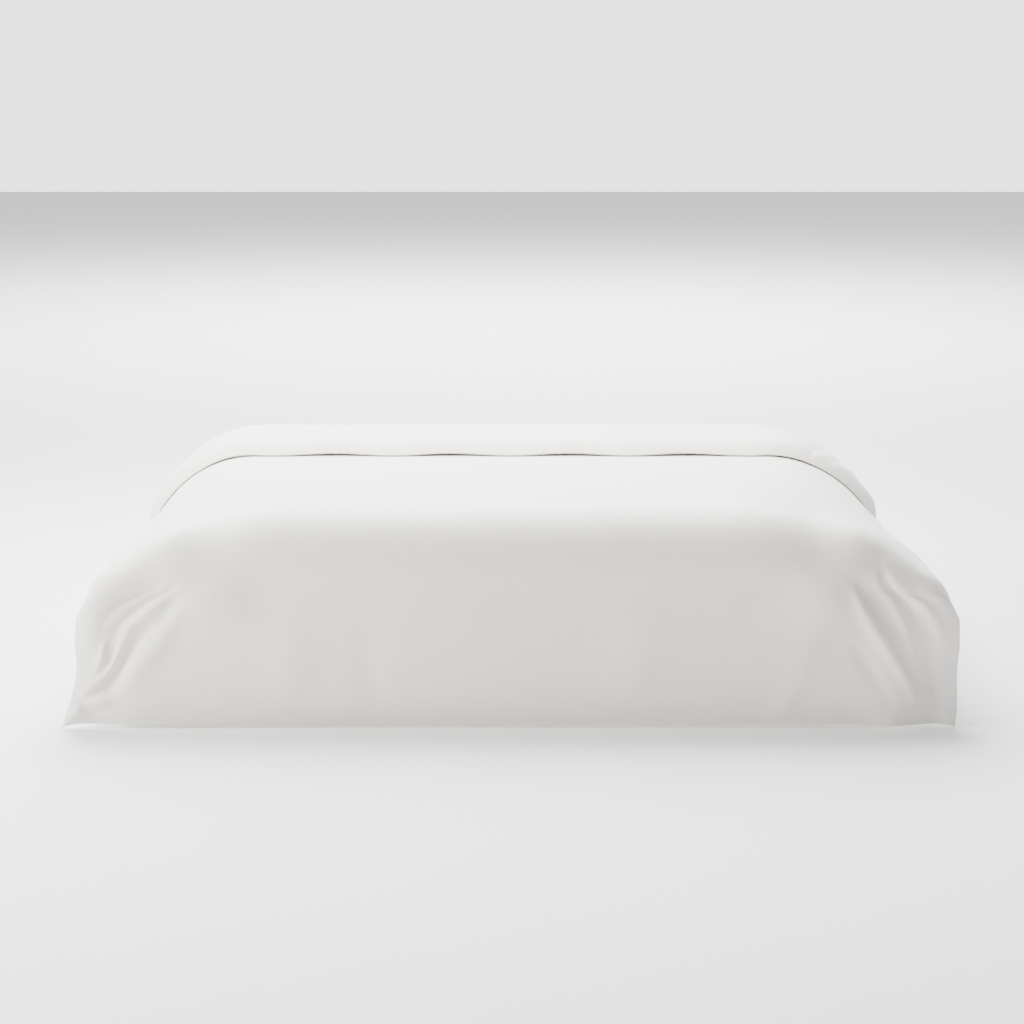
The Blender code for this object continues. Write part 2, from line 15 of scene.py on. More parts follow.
import bmesh
import bpy
import numpy as np
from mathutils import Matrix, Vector


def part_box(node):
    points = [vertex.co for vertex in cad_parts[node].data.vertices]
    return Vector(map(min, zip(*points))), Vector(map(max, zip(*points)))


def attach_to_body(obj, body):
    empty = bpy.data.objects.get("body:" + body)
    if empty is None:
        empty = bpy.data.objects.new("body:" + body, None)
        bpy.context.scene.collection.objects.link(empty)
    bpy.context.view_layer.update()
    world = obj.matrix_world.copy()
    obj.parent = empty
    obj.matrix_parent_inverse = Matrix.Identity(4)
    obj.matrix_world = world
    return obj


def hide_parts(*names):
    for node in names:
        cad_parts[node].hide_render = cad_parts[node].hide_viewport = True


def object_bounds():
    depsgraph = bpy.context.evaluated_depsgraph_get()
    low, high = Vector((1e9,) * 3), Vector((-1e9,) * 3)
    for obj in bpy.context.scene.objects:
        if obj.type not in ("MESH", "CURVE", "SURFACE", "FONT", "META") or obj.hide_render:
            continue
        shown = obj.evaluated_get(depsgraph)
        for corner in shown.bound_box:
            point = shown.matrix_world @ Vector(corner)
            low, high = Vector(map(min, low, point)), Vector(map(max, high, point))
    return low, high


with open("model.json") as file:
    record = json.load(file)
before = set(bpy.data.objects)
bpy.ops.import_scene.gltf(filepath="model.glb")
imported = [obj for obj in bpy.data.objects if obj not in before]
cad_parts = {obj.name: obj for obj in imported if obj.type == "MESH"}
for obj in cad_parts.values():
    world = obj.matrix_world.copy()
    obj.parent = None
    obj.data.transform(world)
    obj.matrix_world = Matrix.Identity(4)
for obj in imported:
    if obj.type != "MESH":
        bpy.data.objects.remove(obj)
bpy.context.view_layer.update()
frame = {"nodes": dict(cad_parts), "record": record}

# %% [markdown]
# The bed itself isn't part of the object, but the cloth has to know its shape.  These are the few
# sizes that the duvet was cut and laid to, in metres.  The origin is on the mattress top, +Y runs
# to the head of the bed and +X to the right as seen from its foot.

# %% Sizes of the bed and of the duvet
MATTRESS_HALF_WIDTH = 0.965
MATTRESS_FOOT_Y = -0.635
MATTRESS_ROUNDING = 0.105
FOLD_Y = 0.635                  # where the head edge turns back
HALF_WIDTH = 1.13               # half of the flat cloth's width
LOFT = 0.036                    # thickness over a filled channel
HANG_GAP = 0.012
SIDE_ANGLE = math.radians(60)
FOOT_FLARE, FLARE_LENGTH = 0.075, 0.35
FOOT_DROP = 0.49
CUFF_DEPTH, CUFF_CLEARANCE = 0.37, 0.0024
EDGE_TAPER = 0.08               # width over which the loft thins to the seam
GAP, SEAM_GAP = 0.0004, 0.0003  # between layers, and between panels that are sewn together
PANEL, SHELL, BAFFLE = 0.0009, 0.0006, 0.0008
INSERT_MARGIN, BINDING_WIDTH, BINDING_HALF, INSERT_TAPER = 0.045, 0.005, 0.0035, 0.06
CHANNELS_PER_SIDE = 3
ZIP_ABOVE_HEM, SLOT_HALF = 0.125, 0.006

HALF_LOFT = LOFT / 2
EDGE_HALF = PANEL + SEAM_GAP / 2
DROP_RADIUS = MATTRESS_ROUNDING + HANG_GAP + HALF_LOFT
SHOULDER_U = MATTRESS_HALF_WIDTH - MATTRESS_ROUNDING
SIDE_ARC, FOOT_ARC = DROP_RADIUS * SIDE_ANGLE, DROP_RADIUS * math.pi / 2
FOOT_STRAIGHT = FOOT_DROP - DROP_RADIUS
FOOT_TOP_Y = MATTRESS_FOOT_Y + MATTRESS_ROUNDING
FOOT_PLANE_Y = FOOT_TOP_Y - DROP_RADIUS
TOP_START_W = FOOT_STRAIGHT + FOOT_ARC
FOLD_W = TOP_START_W + FOLD_Y - FOOT_TOP_Y
FOLD_RADIUS = HALF_LOFT + CUFF_CLEARANCE / 2
CUFF_W = FOLD_W + math.pi * FOLD_RADIUS
LENGTH = CUFF_W + CUFF_DEPTH
INSERT_EDGE = INSERT_MARGIN + BINDING_WIDTH + GAP
CHANNEL_PITCH = (SHOULDER_U + SIDE_ARC) / CHANNELS_PER_SIDE
print(f"flat cloth {2 * HALF_WIDTH:.2f} x {LENGTH:.2f} m, channels {CHANNEL_PITCH:.3f} m wide")

# %% [markdown]
# The camera looks at the foot of the bed, a little from above, like someone who stands five metres
# away.  A long lens keeps the sides of the bed nearly parallel.

# %% Camera
CAMERA_BACK, CAMERA_UP, CAMERA_ASIDE, CAMERA_TILT = 5.49, 1.057, 0.005, 10.42

def show(name, data):
    """An object with this data, put in the scene."""
    made = bpy.data.objects.new(name, data)
    bpy.context.scene.collection.objects.link(made)
    return made

camera = show("camera", bpy.data.cameras.new("camera"))
camera.data.lens, camera.data.sensor_width = 80.56, 36.0
camera.location = (CAMERA_ASIDE, FOOT_PLANE_Y - CAMERA_BACK, CAMERA_UP)
camera.rotation_euler = (math.radians(90 - CAMERA_TILT), 0.0, 0.0)
bpy.context.scene.camera = camera
print("camera at", camera.location.to_tuple(3), "tilted down", CAMERA_TILT, "degrees")

# %% [markdown]
# ## How the cloth hangs
#
# Over the top and down the sides the cloth follows simple curves, so a formula lays it there.  The
# foot end is harder: where the two drops meet at a corner there is too much cloth for a tidy fold,
# and it swings out as a wing on each side.  For that end a cloth simulation starts from the formula
# and lets the flat cloth settle.
#
# `laid` is the formula.  u runs across the cloth from its middle, and w along it from the foot hem.

# %% The cloth as it is laid down
def laid(u, w, shoulder=SHOULDER_U, side_radius=DROP_RADIUS):
    """Middle of the cloth at (u, w): flat up to the shoulder, then round and down."""
    a = np.abs(u)
    turned = np.clip((a - shoulder) / side_radius, 0, SIDE_ANGLE)
    rest = np.maximum(a - shoulder - side_radius * SIDE_ANGLE, 0)
    out = np.minimum(a, shoulder) + side_radius * np.sin(turned) + rest * math.cos(SIDE_ANGLE)
    side_drop = side_radius * (1 - np.cos(turned)) + rest * math.sin(SIDE_ANGLE)
    turned = np.clip((TOP_START_W - w) / DROP_RADIUS, 0, math.pi / 2)
    y = FOOT_TOP_Y + np.maximum(w - TOP_START_W, 0) - DROP_RADIUS * np.sin(turned)
    foot_drop = DROP_RADIUS * (1 - np.cos(turned)) + np.maximum(FOOT_STRAIGHT - w, 0)
    swing = np.clip((TOP_START_W + FLARE_LENGTH - w) / (FOOT_ARC + FLARE_LENGTH), 0, 1)
    out = out + FOOT_FLARE * (1 - np.cos(math.pi * swing)) / 2 * np.maximum(a - SHOULDER_U, 0) / (
        HALF_WIDTH - SHOULDER_U)
    drop = np.cbrt(side_drop ** 3 + foot_drop ** 3)
    return np.stack([np.copysign(out, u), y, HALF_LOFT - drop], -1)

print("a foot corner of the cloth starts at", laid(HALF_WIDTH, 0.0).round(3))

# %% [markdown]
# The simulation needs something to hang over: a block with the mattress's outline and rounded
# edges, remeshed to even little squares, because long thin triangles would leave creases in the
# cloth.  It is thrown away afterwards.

# %% A stand-in for the mattress
BLOCK_DEPTH, BLOCK_SPARE, BLOCK_CELL, ROUND_SEGMENTS = 0.7, 0.5, 0.03, 8
BLOCK_SKIN, BLOCK_FRICTION = 0.003, 5.0

def plain_mesh(name, bm):
    """The mesh that a bmesh holds, which is then freed."""
    mesh = bpy.data.meshes.new(name)
    bm.to_mesh(mesh)
    bm.free()
    return mesh

def finished_mesh(thing):
    """A plain mesh of the object as its modifiers leave it."""
    return bpy.data.meshes.new_from_object(
        thing.evaluated_get(bpy.context.evaluated_depsgraph_get()))

def mattress_block():
    bm = bmesh.new()
    bmesh.ops.create_cube(bm, size=1.0)
    length = FOLD_Y - MATTRESS_FOOT_Y + BLOCK_SPARE
    for v in bm.verts:
        v.co.x *= 2 * MATTRESS_HALF_WIDTH
        v.co.y = MATTRESS_FOOT_Y + (v.co.y + 0.5) * length
        v.co.z = (v.co.z - 0.5) * BLOCK_DEPTH
    def is_upright(edge):
        return abs(edge.verts[0].co.z - edge.verts[1].co.z) > BLOCK_DEPTH / 2

    def is_rim(edge):
        return all(v.co.z > -0.001 for v in edge.verts)

    for chosen in (is_upright, is_rim):
        bmesh.ops.bevel(bm, geom=[e for e in bm.edges if chosen(e)], offset=MATTRESS_ROUNDING,
                        segments=ROUND_SEGMENTS, affect="EDGES", profile=0.5)
    block = show("mattress_block", plain_mesh("mattress_block", bm))
    even = block.modifiers.new("even", "REMESH")
    even.mode, even.voxel_size, even.adaptivity = "VOXEL", BLOCK_CELL, 0.0
    block.data = finished_mesh(block)
    block.modifiers.clear()
    block.modifiers.new("collide", "COLLISION")
    block.collision.thickness_outer = BLOCK_SKIN
    block.collision.cloth_friction = BLOCK_FRICTION
    return block

print(f"the block is {2 * MATTRESS_HALF_WIDTH:.2f} m wide, with edges rounded at {MATTRESS_ROUNDING} m")

# %% [markdown]
# The cloth is a grid of 3 cm squares.  Its rest shape is the flat cut, so it hardly stretches, and
# only its head edge on top of the bed is held, because the cuff's weight holds it there.  High
# bending stiffness makes it fold like a filled duvet and not like a bed sheet.

# %% Let the cloth settle
CELL, FRAMES, TOUCH_DISTANCE, HELD_BEYOND = 0.03, 50, 0.017, 0.05
grid_u = np.linspace(-HALF_WIDTH, HALF_WIDTH, round(2 * HALF_WIDTH / CELL) + 1)
grid_w = np.linspace(0, FOLD_W, round(FOLD_W / CELL) + 1)

def settle(start):
    """The grid's points after the simulation."""
    rows, columns = start.shape[:2]
    faces = [(k, k + 1, k + columns + 1, k + columns)
             for j in range(rows - 1) for k in range(j * columns, (j + 1) * columns - 1)]
    mesh = bpy.data.meshes.new("settling")
    mesh.from_pydata(start.reshape(-1, 3).tolist(), [], faces)
    cloth = show("settling", mesh)
    cloth.shape_key_add(name="Basis")
    cut = cloth.shape_key_add(name="cut")
    u, w = np.meshgrid(grid_u, grid_w)
    cut.data.foreach_set("co", np.stack([u, w - FOLD_W + FOLD_Y, 0 * u], -1).ravel())
    held = cloth.vertex_groups.new(name="held")
    on_top = np.flatnonzero(np.abs(grid_u) < SHOULDER_U + HELD_BEYOND)
    held.add([int(j * columns + i) for j in (rows - 2, rows - 1) for i in on_top], 1.0, "REPLACE")
    settings = cloth.modifiers.new("cloth", "CLOTH").settings
    settings.rest_shape_key = cut
    settings.quality, settings.mass, settings.air_damping = 7, 0.6, 1.0
    settings.tension_stiffness, settings.compression_stiffness = 25, 20
    settings.shear_stiffness, settings.bending_model = 6, "ANGULAR"
    settings.bending_stiffness, settings.bending_damping = 40, 0.5
    settings.tension_damping = settings.compression_damping = settings.shear_damping = 5
    settings.vertex_group_mass, settings.pin_stiffness = "held", 1.0
    touch = cloth.modifiers["cloth"].collision_settings
    touch.distance_min, touch.collision_quality = TOUCH_DISTANCE, 3
    touch.use_self_collision = False
    cloth.modifiers["cloth"].point_cache.frame_end = FRAMES
    for number in range(1, FRAMES + 1):
        bpy.context.scene.frame_set(number)
    done = finished_mesh(cloth)
    points = np.zeros(len(done.vertices) * 3)
    done.vertices.foreach_get("co", points)
    bpy.context.scene.frame_set(1)
    bpy.data.objects.remove(cloth)
    return points.reshape(rows, columns, 3)

start = laid(*np.meshgrid(grid_u, grid_w))
block = mattress_block()
settled = settle(start)
bpy.data.objects.remove(block)
print("foot hem at", settled[0, len(grid_u) // 2].round(3), "left tip", settled[0, 0].round(3),
      "right tip", settled[0, -1].round(3), "side hem", settled[len(grid_w) // 2, -1].round(3))

# %% [markdown]
# The settled grid is coarse, so every later step reads it through a smooth curve: Catmull-Rom
# interpolation, the same idea as a spline through points, in both directions at once.

# %% Read a grid smoothly
def spline_weights(x, lines):
    """For each x, the four grid lines around it and their weights."""
    place_in_grid = np.clip((x - lines[0]) / (lines[1] - lines[0]), 0, len(lines) - 1 - 1e-9)
    index = place_in_grid.astype(int)
    t = place_in_grid - index
    weights = (t * (-0.5 + t * (1 - 0.5 * t)), 1 + t * t * (1.5 * t - 2.5),
               t * (0.5 + t * (2 - 1.5 * t)), t * t * (0.5 * t - 0.5))
    return index, weights

def read_grid(table, lines_u, lines_w, u, w):
    iu, weights_u = spline_weights(u, lines_u)
    iw, weights_w = spline_weights(w, lines_w)
    found = 0
    for a, weight_w in zip(range(-1, 3), weights_w):
        row = np.clip(iw + a, 0, len(lines_w) - 1)
        for b, weight_u in zip(range(-1, 3), weights_u):
            column = np.clip(iu + b, 0, len(lines_u) - 1)
            found = found + table[row, column] * (weight_w * weight_u)[..., None]
    return found

def ease(x, low, high):
    """0 below low, 1 above high, and a smooth step between them."""
    t = np.clip((x - low) / (high - low), 0, 1)
    return t * t * (3 - 2 * t)

print("a smooth step, a quarter of the way up:", ease(0.25, 0, 1))

# %% [markdown]
# The simulated cloth is thin, but a filled duvet bridges the mattress's edge in a wider, softer
# curve.  So the sides take that wider curve from the formula, and only the foot end and its wings
# keep the way in which the simulation differs from the formula.
#
# Listed corrections make it this duvet.  Its foot corners lie lower and fall in above the
# wings.  The two sides don't hang alike: the left one is drawn in above its tip, and the right one
# is fuller.  HEMS gives, along each side hem, its distance from the middle line and its height.
# Behind the zip the cloth stays on the frame's flat foot drop, or the zip would float in front of
# it, and its foot hem hangs a little lower beside the middle.

# %% The finished mid surface
FINE = 0.01
fine_u = np.linspace(-HALF_WIDTH, HALF_WIDTH, round(2 * HALF_WIDTH / FINE) + 1)
fine_w = np.linspace(0, FOLD_W, round(FOLD_W / FINE) + 1)
SOFT_SHOULDER, SOFT_RADIUS = 0.715, 0.37
SIMULATED_UP_TO = (0.50, 0.90)  # w over which the simulation's share fades out
CORNER_TUCK = 0.052             # how much the cloth falls in just above each wing
CORNER_SAG = 0.084              # how much lower the top lies towards the foot corners
HEM_SAG = {-1: 0.011, 1: 0.015}  # how much lower the foot hem hangs beside its middle
# The ranges of u or w, in metres, over which each correction comes in or fades out.
SAG_ACROSS, SAG_IN, SAG_OUT = (0.58, 1.00), (0.26, 0.48), (0.60, 1.40)
TUCK_ACROSS, TUCK_IN, TUCK_OUT = (0.80, 1.02), (0.30, 0.42), (0.50, 0.80)
ZIP_FLAT_ACROSS, ZIP_FLAT_OUT = (SHOULDER_U, SHOULDER_U + 0.20), (0.20, 0.36)
HEM_SAG_ACROSS, HEM_SAG_END, HEM_SAG_OUT = (0.30, 0.92), (0.92, 1.10), (0.0, 0.105)
SIM_SMOOTHING, HEM_SMOOTHING = 4, 12
# per side, at each w: the hem's distance from the middle line, then its height
HEM_W = [0, .04, .10, .17, .23, .30, .40, .50, .60, .70, .80, .92, 1.20, 1.73]
HEMS = {
    -1: ([1.112, 1.098, 1.082, 1.066, 1.074, 1.068, 1.058,
          1.044, 1.030, 1.020, 1.014, 1.010, 1.010, 1.020],
         [-.495, -.459, -.410, -.345, -.290, -.235, -.205,
          -.196, -.190, -.186, -.184, -.184, -.188, -.192]),
    1: ([1.106, 1.112, 1.110, 1.106, 1.112, 1.108, 1.098,
         1.085, 1.072, 1.058, 1.048, 1.042, 1.036, 1.030],
        [-.498, -.462, -.414, -.350, -.292, -.238, -.208,
         -.200, -.191, -.184, -.180, -.179, -.186, -.192])}

def smooth_rows(table, times):
    """Averages each row of points with its neighbours, to take out the grid's own ripple."""
    for _ in range(times):
        inner = (table[:-2] + 2 * table[1:-1] + table[2:]) / 4
        table = np.concatenate([table[:1], inner, table[-1:]])
    return table

def finished_surface():
    u, w = np.meshgrid(fine_u, fine_w)
    sagged = read_grid(settled, grid_u, grid_w, u, w) - laid(u, w)
    sagged = smooth_rows(sagged, SIM_SMOOTHING)
    sagged = np.swapaxes(smooth_rows(np.swapaxes(sagged, 0, 1), SIM_SMOOTHING), 0, 1)
    near_foot = 1 - ease(w, *SIMULATED_UP_TO)
    points = laid(u, w, SOFT_SHOULDER, SOFT_RADIUS) + sagged * near_foot[..., None]
    out = np.abs(u)
    points[..., 2] -= (CORNER_SAG * ease(out, *SAG_ACROSS) * ease(w, *SAG_IN)
                       * (1 - ease(w, *SAG_OUT)))
    corner = ease(out, *TUCK_ACROSS) * ease(w, *TUCK_IN) * (1 - ease(w, *TUCK_OUT))
    points[..., 2] -= CORNER_TUCK * corner
    points[..., 0] -= np.copysign(CORNER_TUCK / 2, u) * corner
    for side, (hem_out, hem_height) in HEMS.items():
        outer = ease(side * u, SOFT_SHOULDER, HALF_WIDTH)
        column = 0 if side < 0 else -1
        missing_out = side * np.interp(fine_w, HEM_W, hem_out) - points[:, column, 0]
        missing_height = np.interp(fine_w, HEM_W, hem_height) - points[:, column, 2]
        even = smooth_rows(np.stack([missing_out, missing_height], -1), HEM_SMOOTHING)
        points[..., 0] += even[:, :1] * outer
        points[..., 2] += even[:, 1:] * outer
    flat = (1 - ease(out, *ZIP_FLAT_ACROSS)) * (1 - ease(w, *ZIP_FLAT_OUT))
    points += (laid(u, w) - points) * flat[..., None]
    low = (ease(out, *HEM_SAG_ACROSS) * (1 - ease(out, *HEM_SAG_END))
           * (1 - ease(w, *HEM_SAG_OUT)))
    points[..., 2] -= np.where(u > 0, HEM_SAG[1], HEM_SAG[-1]) * low
    return points

middle_table = finished_surface()
along_u = np.gradient(middle_table, fine_u, axis=1)
along_w = np.gradient(middle_table, fine_w, axis=0)
normal_table = np.cross(along_u, along_w)
normal_table /= np.linalg.norm(normal_table, axis=-1, keepdims=True)
print("middle surface from", middle_table.min((0, 1)).round(3), "to", middle_table.max((0, 1)).round(3))

# %% [markdown]
# ## Folds and swelling
#
# The wings carry small folds that fan out from the mattress's corners.  Each one is a bent line on
# the flat cloth with a width and a height: a ridge if the height is above zero, a valley if it is
# below.  All are in metres, as (u, w) from the middle and from the foot hem.

# %% Folds of the wings and of the cuff
FOLD_STRENGTH = 1.55
RIDGES = [
    # left wing, from its top down: start, bend, end, half width, height
    ((-0.880, 0.372), (-0.955, 0.318), (-1.040, 0.270), 0.016, -0.0040),
    ((-0.850, 0.352), (-0.900, 0.300), (-0.985, 0.238), 0.014, -0.0060),
    ((-0.858, 0.330), (-0.885, 0.290), (-0.912, 0.245), 0.015, 0.0055),
    ((-0.930, 0.225), (-0.965, 0.155), (-1.090, 0.098), 0.017, 0.0105),
    ((-0.845, 0.300), (-0.895, 0.190), (-1.085, 0.075), 0.026, -0.0085),
    ((-1.030, 0.215), (-1.045, 0.185), (-1.065, 0.150), 0.013, 0.0050),
    ((-0.830, 0.255), (-0.880, 0.150), (-0.960, 0.075), 0.026, 0.0050),
    ((-1.085, 0.060), (-1.070, 0.028), (-1.010, 0.032), 0.011, -0.0055),
    ((-1.060, 0.075), (-1.030, 0.060), (-0.990, 0.060), 0.013, 0.0045),
    # right wing
    ((0.838, 0.345), (0.880, 0.220), (0.990, 0.070), 0.016, 0.0095),
    ((0.850, 0.365), (0.925, 0.215), (1.005, 0.110), 0.017, -0.0075),
    ((0.885, 0.400), (0.940, 0.280), (0.995, 0.150), 0.019, 0.0060),
    ((0.905, 0.415), (0.950, 0.330), (0.985, 0.265), 0.012, -0.0050),
    ((0.915, 0.425), (1.000, 0.320), (1.095, 0.215), 0.022, 0.0065),
    ((1.000, 0.235), (1.030, 0.140), (1.060, 0.020), 0.034, -0.0070),
    ((0.845, 0.190), (0.890, 0.110), (0.930, 0.045), 0.017, -0.0035),
    # the foot drop, very faint
    ((0.660, 0.000), (0.680, 0.040), (0.715, 0.100), 0.012, 0.0025),
    ((0.690, 0.080), (0.730, 0.170), (0.750, 0.260), 0.040, 0.0030),
    ((-0.560, 0.020), (-0.540, 0.140), (-0.530, 0.250), 0.050, 0.0028),
    ((-0.330, 0.000), (-0.345, 0.110), (-0.350, 0.230), 0.035, -0.0022),
    ((0.300, 0.030), (0.310, 0.150), (0.330, 0.330), 0.060, 0.0025),
]

def bent_line(start, bend, end, count=16):
    t = np.linspace(0, 1, count)[:, None]
    return (1 - t) ** 2 * np.array(start) + 2 * t * (1 - t) * np.array(bend) + t * t * np.array(end)

def fold_height(u, w, folds):
    """Height of all the folds at each place on the cloth: a soft hump across each bent line."""
    height = np.zeros_like(u)
    for start, bend, end, width, size in folds:
        line = bent_line(start, bend, end)
        shape = np.zeros_like(u)
        near = ((u > line[:, 0].min() - 4 * width) & (u < line[:, 0].max() + 4 * width)
                & (w > line[:, 1].min() - 4 * width) & (w < line[:, 1].max() + 4 * width))
        pu, pw = u[near], w[near]
        best, along = np.full(pu.shape, 1e9), np.zeros(pu.shape)
        for k, (a, b) in enumerate(zip(line, line[1:])):
            span = b - a
            t = np.clip(((pu - a[0]) * span[0] + (pw - a[1]) * span[1]) / (span @ span), 0, 1)
            far = np.hypot(pu - a[0] - t * span[0], pw - a[1] - t * span[1])
            along = np.where(far < best, (k + t) / (len(line) - 1), along)
            best = np.minimum(best, far)
        shape[near] = np.exp(-(best / width) ** 2) * np.sin(math.pi * (0.12 + 0.76 * along)) ** 1.2
        height += FOLD_STRENGTH * size * shape
    return height

print("folds on the wings and the foot drop:", len(RIDGES))

# %% [markdown]
# Down never fills a bag evenly, so the outer face also swells and sinks by a millimetre or two over
# a hand's breadth.  A sum of a few slow waves in odd directions does that without any repeat that
# the eye could find.  Under the cuff and at the seams the swelling fades out.  The cuff has its own
# swelling and a few folds where it bends over the shoulders.

# %% Swelling of the outer face
SWELL = 0.0034
UNDER_CUFF_W = FOLD_W - CUFF_DEPTH - 0.05
# radians a metre across, radians a metre along, phase
WAVES = [(5.1, 2.2, 0.4), (-3.4, 6.3, 1.9), (9.2, -4.1, 3.3), (2.7, 11.0, 5.2), (-12.3, -6.6, 0.9),
         (15.1, 3.0, 2.6), (7.7, 14.9, 4.4), (-21.0, 9.0, 1.2)]

def waves(u, w):
    total = sum(math.sqrt(5.5 / math.hypot(a, b)) * np.sin(a * u + b * w + c) for a, b, c in WAVES)
    return total / len(WAVES)

def outer_relief(u, w):
    """How far the outer face stands above its plain height, in metres."""
    edge = np.minimum(HALF_WIDTH - np.abs(u), w)
    open_part = 1 - ease(w, UNDER_CUFF_W - 0.08, UNDER_CUFF_W)
    return (SWELL * waves(u, w) * ease(edge, 0.0, 0.12) + fold_height(u, w, RIDGES)) * open_part

CUFF_FOLDS = [((side * 0.845, CUFF_W + 0.340), (side * 0.875, CUFF_W + 0.230),
               (side * 0.900, CUFF_W + 0.130), 0.012, -0.0045) for side in (-1, 1)]
CUFF_FOLDS += [((side * 0.905, CUFF_W + 0.330), (side * 0.925, CUFF_W + 0.240),
                (side * 0.960, CUFF_W + 0.140), 0.010, -0.0040) for side in (-1, 1)]
CUFF_FOLDS += [((side * 0.960, CUFF_W + 0.300), (side * 0.985, CUFF_W + 0.200),
                (side * 1.010, CUFF_W + 0.100), 0.014, 0.0035) for side in (-1, 1)]

def cuff_relief(u, w):
    """The same for the cuff, whose outer face is the cover's back panel."""
    edge = np.minimum(HALF_WIDTH - np.abs(u), LENGTH - w)
    height = 0.8 * SWELL * waves(2 * u, w) * ease(edge, 0.0, 0.10) + fold_height(u, w, CUFF_FOLDS)
    return height * ease(w, FOLD_W, CUFF_W + 0.03)

print(f"swelling at one place: {1000 * outer_relief(np.array([0.2]), np.array([0.7]))[0]:.1f} mm")

# %% [markdown]
# The thickness of each layer depends only on how far it is from the edge of the cloth: full loft in
# the field, thinning along a quarter sine to the seam.  The insert is smaller than the cover and
# ends in a bound edge, and its inner face gives way behind the zip.

# %% Thickness of the layers
RECESS_HALF, RECESS_DEPTH, RECESS_RAMP = 0.020, 0.0042, 0.008
INSERT_FULL = HALF_LOFT - PANEL - GAP

def edge_distance(u, w):
    return np.minimum(np.minimum(HALF_WIDTH - np.abs(u), w), LENGTH - w)

def quarter_sine(distance, width, low, high):
    return low + (high - low) * np.sin(math.pi / 2 * np.clip(distance / width, 0, 1))

def cover_half(u, w):
    return quarter_sine(edge_distance(u, w), EDGE_TAPER, EDGE_HALF, HALF_LOFT)

def insert_half(u, w):
    d = edge_distance(u, w)
    full = quarter_sine(d - INSERT_MARGIN, INSERT_TAPER, BINDING_HALF, INSERT_FULL)
    return np.minimum(full, np.maximum(cover_half(u, w) - PANEL - GAP, BINDING_HALF))

def insert_back_half(u, w):
    near = np.clip((RECESS_HALF + RECESS_RAMP - np.abs(w - ZIP_ABOVE_HEM)) / RECESS_RAMP, 0, 1)
    ends = np.clip((SHOULDER_U + SIDE_ARC / 3 - np.abs(u)) / (SIDE_ARC / 3), 0, 1)
    return np.minimum(insert_half(u, w), INSERT_FULL - RECESS_DEPTH * near * ends)

print("cover's half thickness 0, 2 and 8 cm from its edge, in mm:",
      [round(1000 * float(cover_half(HALF_WIDTH - d, 1.0)), 1) for d in (0.0, 0.02, 0.08)])

# %% [markdown]
# `place` is the heart of the script.  It takes a place on the flat cloth and an offset through the
# thickness, and says where that is on the finished bed.  Past the fold line the cloth runs half
# round a roll and then back over the top.  Between the stitched channels the cuff's hem bulges
# up and back a little, and at each channel wall it is pulled down, which makes the soft scallops.

# %% From the flat cloth to the bed
HEM_LIFT, HEM_DRAW = 0.0045, 0.012

def place(u, w, offset):
    u, w, offset = np.broadcast_arrays(np.asarray(u, float), np.asarray(w, float),
                                       np.asarray(offset, float))
    turned = np.clip((w - FOLD_W) / FOLD_RADIUS, 0, math.pi)
    back = np.maximum(w - CUFF_W, 0)
    up_share, down_share = (offset + HALF_LOFT) / LOFT, (HALF_LOFT - offset) / LOFT
    deep = offset + outer_relief(u, w) * up_share - cuff_relief(u, w) * down_share
    scallop = (1 - np.cos(2 * math.pi * u / CHANNEL_PITCH)) / 2 * (1 - ease(np.abs(u), 0.70, 0.95))
    toward_hem = (back / CUFF_DEPTH) ** 3
    back = back - HEM_DRAW * scallop * toward_hem
    along = np.minimum(w, FOLD_W) + (FOLD_RADIUS - deep) * np.sin(turned) - back
    height = FOLD_RADIUS - (FOLD_RADIUS - deep) * np.cos(turned) + HEM_LIFT * scallop * toward_hem
    thinner = LOFT - cover_half(u, w) - cover_half(u, np.clip(along, EDGE_TAPER, FOLD_W))
    height = height - thinner * (1 - np.cos(turned)) / 2
    beyond = np.maximum(along - FOLD_W, 0)
    on_cloth = np.minimum(along, FOLD_W)
    normal = read_grid(normal_table, fine_u, fine_w, u, on_cloth)
    normal /= np.linalg.norm(normal, axis=-1, keepdims=True)
    ahead = read_grid(along_w, fine_u, fine_w, u, on_cloth)
    ahead /= np.linalg.norm(ahead, axis=-1, keepdims=True)
    return (read_grid(middle_table, fine_u, fine_w, u, on_cloth) + ahead * beyond[..., None]
            + normal * height[..., None])

print("fold of the cuff, in the middle, at", place(0.0, FOLD_W, 0.0).round(3))

# %% [markdown]
# Every layer is a slab: a grid of points on its outer side, another on its inner side, and a rim
# that closes it all round, so that it is a real sheet with a thickness.  The flat cloth's own
# coordinates become the UV map, in metres, so that a weave follows the threads over every bend.

# %% Slabs of cloth
def mesh_of(name, points, faces, uv=None):
    mesh = bpy.data.meshes.new(name)
    mesh.from_pydata(points, [], faces)
    if uv is not None:
        layer = mesh.uv_layers.new(name="cloth")
        corner = np.zeros(len(mesh.loops), int)
        mesh.loops.foreach_get("vertex_index", corner)
        layer.data.foreach_set("uv", uv[corner].astype(np.float32).ravel())
    mesh.shade_smooth()
    return show(name, mesh)

